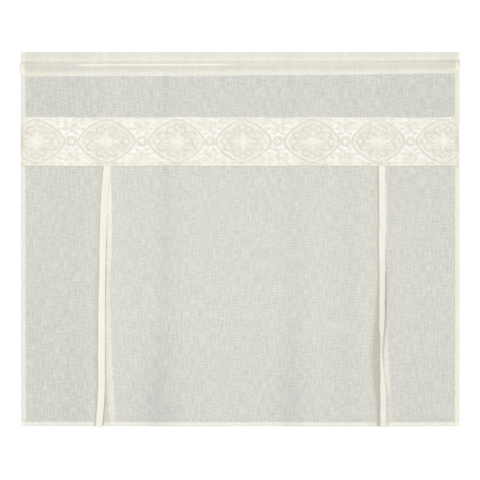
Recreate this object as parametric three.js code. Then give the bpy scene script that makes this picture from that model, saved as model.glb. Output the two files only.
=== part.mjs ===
// Sheer net curtain with a rod pocket, a lace insert and two pairs of hanging ties.
//
// Millimetres, +Z up. X runs along the curtain, to the right as seen from the front, and the front faces -Y.
// The origin is the middle of the top edge, where the curtain is held.
import * as THREE from "three";

// Driving dimensions
const curtainWidth = 1400;
const curtainDrop = 1192;
const clothThickness = 1.2;
const hemExtra = 0.8; // how much thicker a hem is than the single cloth
const hemRise = 1; // distance over which the cloth gets thicker
const sideHemWidth = 14.5;
const footHemHeight = 13;
const seamGap = 0.3; // pieces that are sewn together lie this far apart
const halfWidth = curtainWidth / 2;

// The heading and the pocket get a little narrower towards the right
const heading = { left: 32.6, right: 27.1 };
const pocketFoot = { left: 76.6, right: 67 };
const pocketFrontSwell = 2.5;
const pocketBackSwell = 8.5;
const pocketShoulder = 7; // height over which each wall swells
const pocketSeamWall = 1.7; // cloth left above and below the tunnel
const pocketEndFlare = 3.4; // the pocket's open ends stand out past the heading
const pocketFlareLength = 60;
const pocketSeamFlare = 0.2; // share of the flare at the pocket's seams
const pocketLineWave = { height: 0.8, length: 90 };

// The lace runs over the edges of both cloths
const laceTop = 209;
const laceFoot = 361;
const laceLap = 4;
const laceHemMargin = 2; // cloth left between the side hems and the openings
const laceEdgeWave = { height: 1.1, short: 47, long: 131, shift: 2 };

// Greatest distances between two columns or rows of a solid
const pocketStep = 50;
const upperStep = 50;
const upperShares = [0, 0.5, 1]; // rows of the upper cloth, as shares of its height
const lowerStep = { across: 30, down: 64 };
const laceEdgeStep = 35;
const tieStep = 34;
const nearly = 0.01;

// Ties: folded strips, sewn in under the lace
const tieThickness = 1.6;
const tieBackStart = laceFoot - 2;
const tieFrontStart = laceFoot + 1.5;

const mix = (from, to, share) => from + (to - from) * share;
const clamp01 = (value) => Math.min(1, Math.max(0, value));
const smooth = (value) => clamp01(value) ** 2 * (3 - 2 * clamp01(value));
const radians = THREE.MathUtils.degToRad;

// How the cloth hangs
// Each soft fold steps the cloth forward, towards -Y, on its right side. Depths are in mm, at the foot.
const folds = [
  { name: "left pair", xTop: -500, xFoot: -520, wideTop: 60, wideFoot: 90, stepTop: 0.5, stepFoot: 3.5 },
  { name: "long crease", xTop: -226, xFoot: -262, wideTop: 24, wideFoot: 96, stepTop: 2, stepFoot: 8 },
  { name: "middle swell", xTop: 20, xFoot: 0, wideTop: 160, wideFoot: 220, stepTop: -1.5, stepFoot: -6 },
  { name: "right crease", xTop: 186, xFoot: 160, wideTop: 44, wideFoot: 64, stepTop: 1.8, stepFoot: 5.5 },
  { name: "narrow crease", xTop: 352, xFoot: 345, wideTop: 40, wideFoot: 52, stepTop: 1, stepFoot: 2.5 },
  { name: "right edge", xTop: 560, xFoot: 540, wideTop: 150, wideFoot: 200, stepTop: -1.5, stepFoot: -7 },
];
const footSwing = 5; // the foot hangs this far back
const swingStart = 0.62; // share of the lower cloth's height above the swing
const foldsFull = 0.25; // share of that height over which the folds reach their full depth

// Depth of the cloth's middle at a place on it. The heading and the lace hang flat.
function drape(x, z) {
  const down = clamp01((-z - laceFoot) / (curtainDrop - laceFoot));
  const grow = smooth(down / foldsFull);
  let y = footSwing * smooth((down - swingStart) / (1 - swingStart));
  for (const fold of folds) {
    const centre = mix(fold.xTop, fold.xFoot, down);
    const wide = mix(fold.wideTop, fold.wideFoot, down);
    const step = mix(fold.stepTop, fold.stepFoot, down);
    y -= (grow * step * Math.tanh((x - centre) / (wide / 2))) / 2;
  }
  return y;
}

// Places along a line: even steps between the ends, with the fixed places always among them
function places(from, to, step, fixed = []) {
  const stops = [from, ...fixed, to];
  const found = [];
  for (let i = 0; i + 1 < stops.length; i += 1) {
    const count = Math.max(1, Math.round(Math.abs(stops[i + 1] - stops[i]) / step));
    for (let k = 0; k < count; k += 1) found.push(mix(stops[i], stops[i + 1], k / count));
  }
  found.push(to);
  return found;
}

function geometryOf(positions, index) {
  const geometry = new THREE.BufferGeometry();
  geometry.setAttribute("position", new THREE.Float32BufferAttribute(positions, 3));
  geometry.setIndex(index);
  return geometry;
}

// A closed solid from rings of points. Every ring has the same count, anticlockwise seen from the last ring.
function loft(rings) {
  const count = rings[0].length;
  const positions = rings.flat().flatMap((point) => [point.x, point.y, point.z]);
  const index = [];
  for (let r = 0; r + 1 < rings.length; r += 1) {
    for (let i = 0; i < count; i += 1) {
      const a = r * count + i;
      const b = r * count + ((i + 1) % count);
      index.push(a, b, b + count, a, b + count, a + count);
    }
  }
  const last = (rings.length - 1) * count;
  for (let i = 1; i + 1 < count; i += 1) {
    index.push(0, i + 1, i);
    index.push(last, last + i, last + i + 1);
  }
  return geometryOf(positions, index);
}

// A sheet with a front and a back: column places run along X, row places run down the cloth.
// spot(column, row) gives { x, z, front, back } there.
function sheet(columns, rows, spot) {
  const positions = [];
  const index = [];
  const across = columns.length;
  const size = across * rows.length;
  const spots = rows.flatMap((row) => columns.map((column) => spot(column, row)));
  for (const side of ["front", "back"]) {
    for (const place of spots) positions.push(place.x, place[side], place.z);
  }
  const quad = (a, b, c, d) => index.push(a, b, c, a, c, d);
  for (let r = 0; r + 1 < rows.length; r += 1) {
    for (let c = 0; c + 1 < across; c += 1) {
      const a = r * across + c;
      quad(a, a + across, a + across + 1, a + 1);
      quad(size + a, size + a + 1, size + a + across + 1, size + a + across);
    }
  }
  const rim = [];
  for (let c = 0; c < across; c += 1) rim.push(c);
  for (let r = 1; r < rows.length; r += 1) rim.push(r * across + across - 1);
  for (let c = across - 2; c >= 0; c -= 1) rim.push((rows.length - 1) * across + c);
  for (let r = rows.length - 2; r > 0; r -= 1) rim.push(r * across);
  rim.forEach((a, i) => {
    const b = rim[(i + 1) % rim.length];
    quad(a, b, size + b, size + a);
  });
  return geometryOf(positions, index);
}

// Columns at the inner edges of the side hems, where the cloth gets thicker
const sideHemStops = [
  -halfWidth + sideHemWidth,
  -halfWidth + sideHemWidth + hemRise,
  halfWidth - sideHemWidth - hemRise,
  halfWidth - sideHemWidth,
];

// Heading and rod pocket
const along = (x) => (x + halfWidth) / curtainWidth;
const stitchLine = (x) => -mix(heading.left, heading.right, along(x));
const pocketWave = (x) => pocketLineWave.height * Math.sin(x / pocketLineWave.length);
const pocketLine = (x) => -mix(pocketFoot.left, pocketFoot.right, along(x)) - pocketWave(x);

// Outline of the pocket's section at x, and its tunnel, both as [y, z, share of the end flare] from the top
function pocketSection(x) {
  const hem = Math.abs(x) > halfWidth - sideHemWidth ? hemExtra / 2 : 0;
  const half = clothThickness + hem;
  const top = stitchLine(x);
  const foot = pocketLine(x);
  const rise = top - pocketShoulder;
  const fall = foot + pocketShoulder;
  const front = -pocketFrontSwell - half;
  const back = pocketBackSwell + half;
  const seam = pocketSeamFlare;
  return {
    outer: [
      [-half, 0, 0],
      [-half, top, seam],
      [front, rise, 1],
      [front, fall, 1],
      [-half, foot, seam],
      [half, foot, seam],
      [back, fall, 1],
      [back, rise, 1],
      [half, top, seam],
      [half, 0, 0],
    ],
    tunnel: [
      [0, top - pocketSeamWall, seam],
      [-pocketFrontSwell, rise, 1],
      [-pocketFrontSwell, fall, 1],
      [0, foot + pocketSeamWall, seam],
      [pocketBackSwell, fall, 1],
      [pocketBackSwell, rise, 1],
    ],
  };
}

// The pocket is a tube: its outside, its tunnel, and an end face with a hole at each end
function rodPocket() {
  const columns = places(-halfWidth, halfWidth, pocketStep, sideHemStops);
  const positions = [];
  const index = [];
  const sections = columns.map((x) => {
    const nearEnd = smooth((Math.abs(x) - halfWidth + pocketFlareLength) / pocketFlareLength);
    const flare = Math.sign(x) * pocketEndFlare * nearEnd;
    const section = pocketSection(x);
    for (const [y, z, share] of [...section.outer, ...section.tunnel]) {
      positions.push(x + flare * share, y, z);
    }
    return section;
  });
  const outerCount = sections[0].outer.length;
  const tunnelCount = sections[0].tunnel.length;
  const perSection = outerCount + tunnelCount;
  const quad = (a, b, c, d) => index.push(a, b, c, a, c, d);
  for (let s = 0; s + 1 < sections.length; s += 1) {
    for (let i = 0; i < outerCount; i += 1) {
      const a = s * perSection + i;
      const b = s * perSection + ((i + 1) % outerCount);
      quad(a, b, b + perSection, a + perSection);
    }
    for (let i = 0; i < tunnelCount; i += 1) {
      const a = s * perSection + outerCount + i;
      const b = s * perSection + outerCount + ((i + 1) % tunnelCount);
      quad(a, a + perSection, b + perSection, b);
    }
  }
  const flat = (points) => points.map(([y, z]) => new THREE.Vector2(y, z));
  const cap = (section, first, facesRight) => {
    const faces = THREE.ShapeUtils.triangulateShape(flat(section.outer), [flat(section.tunnel)]);
    for (const [a, b, c] of faces) {
      const turned = facesRight ? [a, b, c] : [a, c, b];
      index.push(...turned.map((corner) => first + corner));
    }
  };
  cap(sections[0], 0, false);
  cap(sections[sections.length - 1], (sections.length - 1) * perSection, true);
  return geometryOf(positions, index);
}

// Plain cloth
const inSideHem = (x) => Math.abs(x) > halfWidth - sideHemWidth - nearly;

// A point of the cloth at x and z. Hems are turned to the back.
function clothSpot(x, z, hemmed) {
  const middle = drape(x, z);
  const extra = hemmed || inSideHem(x) ? hemExtra : 0;
  return { x, z, front: middle - clothThickness / 2, back: middle + clothThickness / 2 + extra };
}

function upperPanel() {
  const columns = places(-halfWidth, halfWidth, upperStep, sideHemStops);
  const foot = -laceTop - laceLap;
  return sheet(columns, upperShares, (x, share) => {
    const top = pocketLine(x) - seamGap;
    return clothSpot(x, mix(top, foot, share), false);
  });
}

function lowerPanel() {
  const columns = places(-halfWidth, halfWidth, lowerStep.across, sideHemStops);
  const hemTop = -curtainDrop + footHemHeight;
  const rows = places(-laceFoot + laceLap, -curtainDrop, lowerStep.down, [hemTop + hemRise, hemTop]);
  return sheet(columns, rows, (x, z) => clothSpot(x, z, z < hemTop + nearly));
}

// Lace insert
// A repeat is a pointed oval with an eight-petal rosette, then a ring between two fans. Sizes are for an even
// repeat, and each repeat is stretched to the place of its oval.
const repeat = 218;
const laceMiddle = -(laceTop + laceFoot) / 2;
const ovals = [-650, -427, -200, 9, 232, 442, 647]; // middles of the ovals along the lace
const oval = { halfWidth: 89, halfHeight: 67.5, power: 1.5, slots: 12, slotWidth: 4.6, bar: 4.4, steps: 3 };
const petalRim = { slotWidth: 4.4, spread: 58, steps: 4 };
const smallestGap = 4;
const petals = [
  {
    name: "steep",
    eye: { x: 15.5, z: 25, tilt: 58, long: 17, wide: 6.5 },
    rim: { x: 17, z: 32.5, tilt: 58, long: 15.5, wide: 12 },
  },
  {
    name: "flat",
    eye: { x: 33, z: 12.5, tilt: 20, long: 19, wide: 6 },
    rim: { x: 41, z: 15.5, tilt: 20, long: 21, wide: 12.5 },
  },
];
const ring = { inner: 9.6, outer: 14.2, slots: 4, bar: 3.2, steps: 2 };
const leafAngles = [0, 60, 120, 180, 240, 300];
const fan = [
  { name: "bud", x: 0, z: 44, tilt: 90, long: 25, wide: 9 },
  { name: "top leaf", x: 17, z: 57, tilt: 60, long: 14, wide: 6 },
  { name: "side leaf", x: 29, z: 40.5, tilt: 8, long: 18, wide: 6 },
  { name: "low leaf", x: 14, z: 25, tilt: -12, long: 15, wide: 5.4 },
];

// A place in the pattern, counted in mm of the even repeat from the first oval, on the real lace
function laceX(run) {
  const last = ovals.length - 1;
  const index = Math.min(last - 1, Math.max(0, Math.floor(run / repeat)));
  return mix(ovals[index], ovals[index + 1], run / repeat - index);
}

// The point u along and v across a shape that is tilted about its middle
function turned({ x, z, tilt }, u, v) {
  const turn = radians(tilt);
  return [x + u * Math.cos(turn) - v * Math.sin(turn), z + u * Math.sin(turn) + v * Math.cos(turn)];
}

// A leaf-shaped opening with a corner at each of the leaf angles
function leaf(shape) {
  const widest = Math.sin(radians(leafAngles[1]));
  return leafAngles.map((angle) => {
    const u = (Math.cos(radians(angle)) * shape.long) / 2;
    const v = (Math.sin(radians(angle)) * shape.wide) / 2 / widest;
    return turned(shape, u, v);
  });
}

// An opening that follows a curve: curve(t, side) gives the middle line moved sideways by side
function slot(curve, from, to, width, steps) {
  const near = [];
  const far = [];
  for (let i = 0; i <= steps; i += 1) {
    const t = mix(from, to, i / steps);
    near.push(curve(t, width / 2));
    far.push(curve(t, -width / 2));
  }
  return [...near, ...far.reverse()];
}

// The oval's outline: a rounded lozenge, moved outwards by side
function ovalCurve(angle, side) {
  const wide = Math.abs(Math.cos(angle)) / oval.halfWidth;
  const high = Math.abs(Math.sin(angle)) / oval.halfHeight;
  const radius = (wide ** oval.power + high ** oval.power) ** (-1 / oval.power) + side;
  return [radius * Math.cos(angle), radius * Math.sin(angle)];
}

const mirrored = (points, signX, signZ) => {
  const moved = points.map(([x, z]) => [x * signX, z * signZ]);
  return signX * signZ < 0 ? moved.reverse() : moved;
};

function ovalOpenings() {
  const found = [];
  const pitch = (2 * Math.PI) / oval.slots;
  for (let k = 0; k < oval.slots; k += 1) {
    const middle = (k + 0.5) * pitch;
    const [x, z] = ovalCurve(middle, 0);
    const bar = oval.bar / 2 / Math.hypot(x, z);
    const from = middle - pitch / 2 + bar;
    found.push(slot(ovalCurve, from, from + pitch - 2 * bar, oval.slotWidth, oval.steps));
  }
  const spread = radians(petalRim.spread);
  const { slotWidth, steps } = petalRim;
  for (const { eye, rim } of petals) {
    const rimCurve = (t, side) => {
      const u = (rim.long + side) * Math.cos(t);
      const v = (rim.wide + side) * Math.sin(t);
      return turned(rim, u, v);
    };
    for (const [signX, signZ] of [[1, 1], [-1, 1], [-1, -1], [1, -1]]) {
      found.push(mirrored(leaf(eye), signX, signZ));
      found.push(mirrored(slot(rimCurve, -spread, spread, slotWidth, steps), signX, signZ));
    }
  }
  return found;
}

function ringOpenings() {
  const found = [];
  const middle = (ring.inner + ring.outer) / 2;
  const circle = (t, side) => [(middle + side) * Math.cos(t), (middle + side) * Math.sin(t)];
  for (let k = 0; k < ring.slots; k += 1) {
    const from = (k * 2 * Math.PI) / ring.slots;
    const bar = ring.bar / 2 / middle;
    const to = from + (2 * Math.PI) / ring.slots;
    found.push(slot(circle, from + bar, to - bar, ring.outer - ring.inner, ring.steps));
  }
  for (const gap of fan) {
    for (const signZ of [1, -1]) {
      for (const signX of gap.x === 0 ? [1] : [1, -1]) found.push(mirrored(leaf(gap), signX, signZ));
    }
  }
  return found;
}

// Cuts a convex-enough opening back to the lace inside its side hems
function insideHems(points) {
  const limit = halfWidth - sideHemWidth - laceHemMargin;
  let kept = points;
  for (const sign of [1, -1]) {
    const next = [];
    kept.forEach((a, i) => {
      const b = kept[(i + 1) % kept.length];
      const insideA = a[0] * sign <= limit;
      if (insideA) next.push(a);
      if (insideA !== b[0] * sign <= limit) {
        const share = (limit * sign - a[0]) / (b[0] - a[0]);
        next.push([limit * sign, mix(a[1], b[1], share)]);
      }
    });
    kept = next;
  }
  return kept;
}

// All openings of the lace, in the lace's own plane
function laceOpenings() {
  const found = [];
  const add = (openings, run) => {
    for (const points of openings) found.push(points.map(([x, z]) => [x + run, z]));
  };
  for (let k = 0; k < ovals.length; k += 1) {
    add(ovalOpenings(), k * repeat);
    if (k + 1 < ovals.length) add(ringOpenings(), (k + 0.5) * repeat);
  }
  return found
    .map((points) => insideHems(points.map(([x, z]) => [laceX(x), z])))
    .filter((points) => {
      if (points.length < 3) return false;
      const xs = points.map((point) => point[0]);
      return Math.max(...xs) - Math.min(...xs) > smallestGap;
    });
}

function laceBand() {
  const half = (laceFoot - laceTop) / 2;
  const edge = places(-halfWidth, halfWidth, laceEdgeStep);
  const edgeWave = laceEdgeWave;
  const wave = (x, shift) =>
    half + edgeWave.height * Math.sin(x / edgeWave.short + shift) * Math.sin(x / edgeWave.long);
  const shape = new THREE.Shape([
    ...edge.map((x) => new THREE.Vector2(x, -wave(x, 0))),
    ...edge.reverse().map((x) => new THREE.Vector2(x, wave(x, edgeWave.shift))),
  ]);
  for (const points of laceOpenings()) {
    shape.holes.push(new THREE.Path(points.map(([x, z]) => new THREE.Vector2(x, z))));
  }
  const geometry = new THREE.ExtrudeGeometry(shape, { depth: clothThickness, bevelEnabled: false });
  geometry.rotateX(Math.PI / 2);
  geometry.translate(0, -clothThickness / 2 - seamGap, laceMiddle);
  return geometry;
}

// Ties
// Each row is one place down the tie: its height below the top edge, where its middle is across the curtain,
// how wide the strip is there, how far it turns about its own length, and its clearance from the cloth.
const tieRows = {
  tie_front_left: [
    { drop: tieFrontStart, x: -423.5, wide: 21.5, turn: 0, clear: 0 },
    { drop: 376, x: -425.5, wide: 21.5, turn: 0, clear: 1.2 },
    { drop: 410, x: -429, wide: 21.5, turn: -3, clear: 2 },
    { drop: 443, x: -432.5, wide: 21.5, turn: -6, clear: 3 },
    { drop: 492, x: -436, wide: 21, turn: -7, clear: 3.5 },
    { drop: 585, x: -438.5, wide: 20.5, turn: -5, clear: 3.5 },
    { drop: 728, x: -441, wide: 20, turn: 2, clear: 3 },
    { drop: 840, x: -441.5, wide: 20, turn: 5, clear: 3 },
    { drop: 960, x: -442, wide: 20.5, turn: 3, clear: 3 },
    { drop: 1054, x: -444.5, wide: 20.5, turn: -3, clear: 4 },
    { drop: 1112, x: -448.5, wide: 20.5, turn: -9, clear: 5 },
    { drop: 1160, x: -451.5, wide: 20, turn: -13, clear: 6 },
    { drop: 1197.5, x: -453, wide: 18.5, turn: -15, clear: 7 },
  ],
  tie_front_right: [
    { drop: tieFrontStart, x: 453.5, wide: 20.5, turn: 0, clear: 0 },
    { drop: 376, x: 453.5, wide: 20.5, turn: 0, clear: 1.2 },
    { drop: 440, x: 453.8, wide: 20, turn: 4, clear: 2 },
    { drop: 585, x: 453.3, wide: 20, turn: 7, clear: 3 },
    { drop: 716, x: 453, wide: 20, turn: 12, clear: 4 },
    { drop: 800, x: 452.6, wide: 20, turn: 22, clear: 4.5 },
    { drop: 845, x: 452, wide: 20, turn: 38, clear: 4.5 },
    { drop: 885, x: 451.5, wide: 20, turn: 60, clear: 4.5 },
    { drop: 925, x: 450.8, wide: 20, turn: 79, clear: 5 },
    { drop: 960, x: 450.6, wide: 20, turn: 96, clear: 5 },
    { drop: 995, x: 452.2, wide: 20, turn: 121, clear: 5 },
    { drop: 1030, x: 454.5, wide: 20, turn: 148, clear: 6 },
    { drop: 1065, x: 456.2, wide: 20, turn: 165, clear: 7 },
    { drop: 1120, x: 457.3, wide: 20, turn: 173, clear: 8 },
    { drop: 1196, x: 457.3, wide: 20.5, turn: 176, clear: 8.5 },
  ],
  tie_back_left: [
    { drop: tieBackStart, x: -423.5, wide: 21.5, turn: 0, clear: 0 },
    { drop: 410, x: -421.5, wide: 21.5, turn: 0, clear: 1 },
    { drop: 490, x: -419.5, wide: 21, turn: 2, clear: 1.2 },
    { drop: 650, x: -420, wide: 21, turn: 4, clear: 1.6 },
    { drop: 730, x: -426, wide: 20.5, turn: 6, clear: 2 },
    { drop: 860, x: -421.5, wide: 21, turn: 0, clear: 1.4 },
    { drop: 1000, x: -416.5, wide: 21, turn: -4, clear: 1.4 },
    { drop: 1110, x: -411.5, wide: 21, turn: -6, clear: 2 },
    { drop: 1184, x: -408.5, wide: 20, turn: -8, clear: 4 },
  ],
  tie_back_right: [
    { drop: tieBackStart, x: 467, wide: 20.5, turn: 0, clear: 0 },
    { drop: 410, x: 465.5, wide: 20.5, turn: 0, clear: 1 },
    { drop: 490, x: 464.5, wide: 20.5, turn: -3, clear: 1.4 },
    { drop: 620, x: 465, wide: 20.5, turn: -4, clear: 1.6 },
    { drop: 730, x: 468.5, wide: 20.5, turn: -2, clear: 1.6 },
    { drop: 900, x: 472, wide: 21, turn: 2, clear: 1.2 },
    { drop: 1010, x: 473.5, wide: 21, turn: 2, clear: 1.2 },
    { drop: 1090, x: 473, wide: 20.5, turn: 4, clear: 3 },
    { drop: 1183, x: 473.5, wide: 20, turn: 7, clear: 6 },
  ],
};
// How much higher the right corner of each cut end is than the left one
const tieEndSlant = { tie_front_left: -5.2, tie_front_right: -1.2, tie_back_left: 3, tie_back_right: -3 };

// The row at a drop between two rows of the table, with an easy curve through them
function tieRowAt(rows, drop) {
  const next = Math.min(rows.length - 1, Math.max(1, rows.findIndex((row) => row.drop >= drop)));
  const pick = (i) => rows[Math.min(rows.length - 1, Math.max(0, i))];
  const [before, from, to, after] = [pick(next - 2), pick(next - 1), pick(next), pick(next + 1)];
  const share = (drop - from.drop) / (to.drop - from.drop);
  const curve = (key) => {
    const slopeFrom = (to[key] - before[key]) / Math.max(1, to.drop - before.drop);
    const slopeTo = (after[key] - from[key]) / Math.max(1, after.drop - from.drop);
    const length = to.drop - from.drop;
    const square = share * share;
    const cube = square * share;
    return (
      (2 * cube - 3 * square + 1) * from[key] +
      (cube - 2 * square + share) * length * slopeFrom +
      (3 * square - 2 * cube) * to[key] +
      (cube - square) * length * slopeTo
    );
  };
  return { x: curve("x"), wide: curve("wide"), turn: curve("turn"), clear: Math.max(0, curve("clear")) };
}

// side is -1 for a tie in front of the cloth and +1 for one behind it
function tie(name, side) {
  const rows = tieRows[name];
  const inner = rows.slice(1, -1).map((row) => row.drop);
  const drops = places(rows[0].drop, rows[rows.length - 1].drop, tieStep, inner);
  const rings = drops.map((drop, i) => {
    const row = tieRowAt(rows, drop);
    const turn = radians(row.turn);
    const reach = (row.wide / 2) * Math.abs(Math.sin(turn)) + (tieThickness / 2) * Math.abs(Math.cos(turn));
    const off = clothThickness / 2 + seamGap + row.clear + reach;
    const middle = drape(row.x, -drop) + side * off;
    const slant = i === drops.length - 1 ? tieEndSlant[name] : 0;
    return [[-1, -1], [1, -1], [1, 1], [-1, 1]].map(([u, v]) => {
      const across = (u * row.wide) / 2;
      const deep = (v * tieThickness) / 2;
      return new THREE.Vector3(
        row.x + across * Math.cos(turn) - deep * Math.sin(turn),
        middle + across * Math.sin(turn) + deep * Math.cos(turn),
        -drop + (slant * u) / 2,
      );
    });
  });
  return loft(rings.reverse());
}

// Finishes
const finishes = {
  cloth: new THREE.MeshStandardMaterial({ color: "rgb(213, 214, 206)", roughness: 0.95, metalness: 0 }),
  heading: new THREE.MeshStandardMaterial({ color: "rgb(226, 225, 215)", roughness: 0.95, metalness: 0 }),
  lace: new THREE.MeshStandardMaterial({ color: "rgb(240, 236, 224)", roughness: 0.9, metalness: 0 }),
  tie: new THREE.MeshStandardMaterial({ color: "rgb(244, 241, 229)", roughness: 0.92, metalness: 0 }),
};

function piece(name, geometry, material) {
  const mesh = new THREE.Mesh(geometry, material);
  mesh.name = name;
  return mesh;
}

const curtain = new THREE.Group();
curtain.add(piece("rod_pocket", rodPocket(), finishes.heading));
curtain.add(piece("upper_panel", upperPanel(), finishes.cloth));
curtain.add(piece("lace_band", laceBand(), finishes.lace));
curtain.add(piece("lower_panel", lowerPanel(), finishes.cloth));
for (const name of Object.keys(tieRows)) {
  curtain.add(piece(name, tie(name, name.startsWith("tie_front") ? -1 : 1), finishes.tie));
}

export default curtain;
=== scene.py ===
# A sheer net curtain with a rod pocket, a lace insert and two pairs of ties, hung flat
import math
import bpy
import numpy as np
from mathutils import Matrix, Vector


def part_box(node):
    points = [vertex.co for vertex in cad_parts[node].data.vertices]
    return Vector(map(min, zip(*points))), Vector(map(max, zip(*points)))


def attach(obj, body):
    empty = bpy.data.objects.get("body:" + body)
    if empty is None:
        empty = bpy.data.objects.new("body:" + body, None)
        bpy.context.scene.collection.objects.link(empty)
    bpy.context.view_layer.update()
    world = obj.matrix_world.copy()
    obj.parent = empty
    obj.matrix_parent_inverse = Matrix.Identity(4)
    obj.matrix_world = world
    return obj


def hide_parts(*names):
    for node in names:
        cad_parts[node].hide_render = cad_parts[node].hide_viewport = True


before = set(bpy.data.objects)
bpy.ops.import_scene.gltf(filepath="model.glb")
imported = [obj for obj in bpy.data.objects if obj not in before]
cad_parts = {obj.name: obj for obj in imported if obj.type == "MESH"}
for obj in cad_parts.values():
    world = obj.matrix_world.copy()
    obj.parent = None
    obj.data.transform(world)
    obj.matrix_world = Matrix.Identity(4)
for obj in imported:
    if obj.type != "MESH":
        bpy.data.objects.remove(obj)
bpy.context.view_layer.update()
print("stage: the packed curtain is loaded")

# Lengths are in mm down to the mesh makers, which turn them into metres
mm = 0.001
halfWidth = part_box("lower_panel")[1].x / mm
footReach = 2.7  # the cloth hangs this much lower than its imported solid
curtainDrop = -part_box("lower_panel")[0].z / mm + footReach
laceTopEdge = 209
laceFootEdge = 361
laceMiddle = -(laceTopEdge + laceFootEdge) / 2


# Camera, studio and backdrop
room = {
    "cameraPlace": (-0.0006, -4.257, -0.6003),
    "lens": 100,
    "sensor": 36,
    "lampAim": (0, 0, -0.6),
    "backdrop": (1.0, 1.0, 1.0),
    "behindCloth": (0.500, 0.520, 0.495),  # what shows through the sheer cloth
    "behindEdge": (0.435, 0.455, 0.435),
    "edgeAngle": 0.19,
    "fillAbove": (0.62, 0.62, 0.62),
    "fillBelow": (0.46, 0.46, 0.455),
    "fillFront": (0.70, 0.695, 0.655),
    "frontFill": (-0.9, 0.35),  # how fast the front's fill grows towards it, and its share at the sides
    "floorDrop": 2.14,
    "floorRadius": 2.3,
    "floorSides": 64,
    "floorColor": (0.78, 0.77, 0.75),
    "floorFade": 2.2,
    "laceWindow": (4, 5, 0.25),  # how far in from the sides, in from the lace's long edges, and back
}
lamps = {
    "key": {"kind": "SUN", "place": (7.0, -6.0, 3.3), "size": 0.34, "power": 1.7, "color": (0.88, 0.895, 1)},
    "left fill": {"kind": "AREA", "place": (-4.2, -5.7, 0.4), "size": 3.2, "power": 52, "color": (1, 1, 1)},
}


def mix(start, end, share):
    return start + (end - start) * share


def smooth(value):
    value = np.clip(value, 0, 1)
    return value * value * (3 - 2 * value)


def bell(away, wide):
    return np.exp(-((away / wide) ** 2))


def tableAt(table, place):
    # Reads between the rows of a table of places and values
    return np.interp(place, *np.array(table).T)


def lengthsAlong(*axes):
    # How far along a line each of its points is
    return np.r_[0, np.cumsum(np.sqrt(sum(np.diff(axis) ** 2 for axis in axes)))]


def join(value, socket):
    # The value is a socket to link, a number, a place or a color
    if isinstance(value, bpy.types.NodeSocket):
        socket.id_data.links.new(value, socket)
    elif socket.type == "RGBA":
        socket.default_value = (*value, 1.0)
    else:
        socket.default_value = value


def addNode(tree, kind, inputs=None, **settings):
    node = tree.nodes.new(kind)
    for label, value in settings.items():
        setattr(node, label, value)
    for label, value in (inputs or {}).items():
        join(value, node.inputs[label])
    return node


def calc(operation, *values, clamp=False):
    tree = next(value.id_data for value in values if isinstance(value, bpy.types.NodeSocket))
    node = addNode(tree, "ShaderNodeMath", operation=operation, use_clamp=clamp)
    for socket, value in zip(node.inputs, (*values, 0.0, 0.0)):
        join(value, socket)
    return node.outputs[0]


def blendColors(share, first, second):
    inputs = {"Factor": share, 6: first, 7: second}
    return addNode(share.id_data, "ShaderNodeMix", inputs, data_type="RGBA").outputs[2]


def nodeOf(tree, kind):
    return next(node for node in tree.nodes if node.type == kind)


def newMaterial(name):
    material = bpy.data.materials.new(name)
    material.use_nodes = True
    tree = material.node_tree
    return material, tree, nodeOf(tree, "BSDF_PRINCIPLED").inputs


def newObject(name, data):
    made = bpy.data.objects.new(name, data)
    bpy.context.collection.objects.link(made)
    return made


def makeCamera():
    data = bpy.data.cameras.new("camera")
    data.lens = room["lens"]
    data.sensor_width = room["sensor"]
    camera = newObject("camera", data)
    camera.location = room["cameraPlace"]
    camera.rotation_euler = (math.radians(90), 0, 0)
    bpy.context.scene.camera = camera


def makeLamps():
    for name, lamp in lamps.items():
        data = bpy.data.lights.new(name, lamp["kind"])
        data.energy = lamp["power"]
        data.color = lamp["color"]
        if lamp["kind"] == "SUN":
            data.angle = lamp["size"]
        else:
            data.shape = "DISK"
            data.size = lamp["size"]
        light = newObject(name, data)
        light.location = lamp["place"]
        aim = Vector(room["lampAim"]) - Vector(lamp["place"])
        light.rotation_euler = aim.to_track_quat("-Z", "Y").to_euler()


def makeStudio():
    # White where nothing hangs in front of it, and the cool grey of a dim room where cloth does
    world = bpy.data.worlds.new("studio")
    world.use_nodes = True
    tree = world.node_tree
    path = addNode(tree, "ShaderNodeLightPath").outputs
    place = addNode(tree, "ShaderNodeTexCoord").outputs["Generated"]
    axes = addNode(tree, "ShaderNodeSeparateXYZ", {0: place}).outputs
    across, up = axes["X"], axes["Z"]
    away = calc("ADD", calc("MULTIPLY", across, across), calc("MULTIPLY", up, up))
    outer = calc("MULTIPLY", away, room["edgeAngle"] ** -2, clamp=True)
    grey = blendColors(outer, room["behindCloth"], room["behindEdge"])
    through = calc("GREATER_THAN", path["Transparent Depth"], 0.5)
    seen = blendColors(through, room["backdrop"], grey)
    high = calc("MULTIPLY_ADD", up, 0.5, 0.5, clamp=True)
    around = blendColors(high, room["fillBelow"], room["fillAbove"])
    ahead = calc("MULTIPLY_ADD", axes["Y"], *room["frontFill"], clamp=True)
    fill = blendColors(ahead, around, room["fillFront"])
    join(blendColors(path["Is Camera Ray"], fill, seen), nodeOf(tree, "BACKGROUND").inputs["Color"])
    bpy.context.scene.world = world
    bpy.context.scene.view_settings.view_transform = "Standard"


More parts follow.
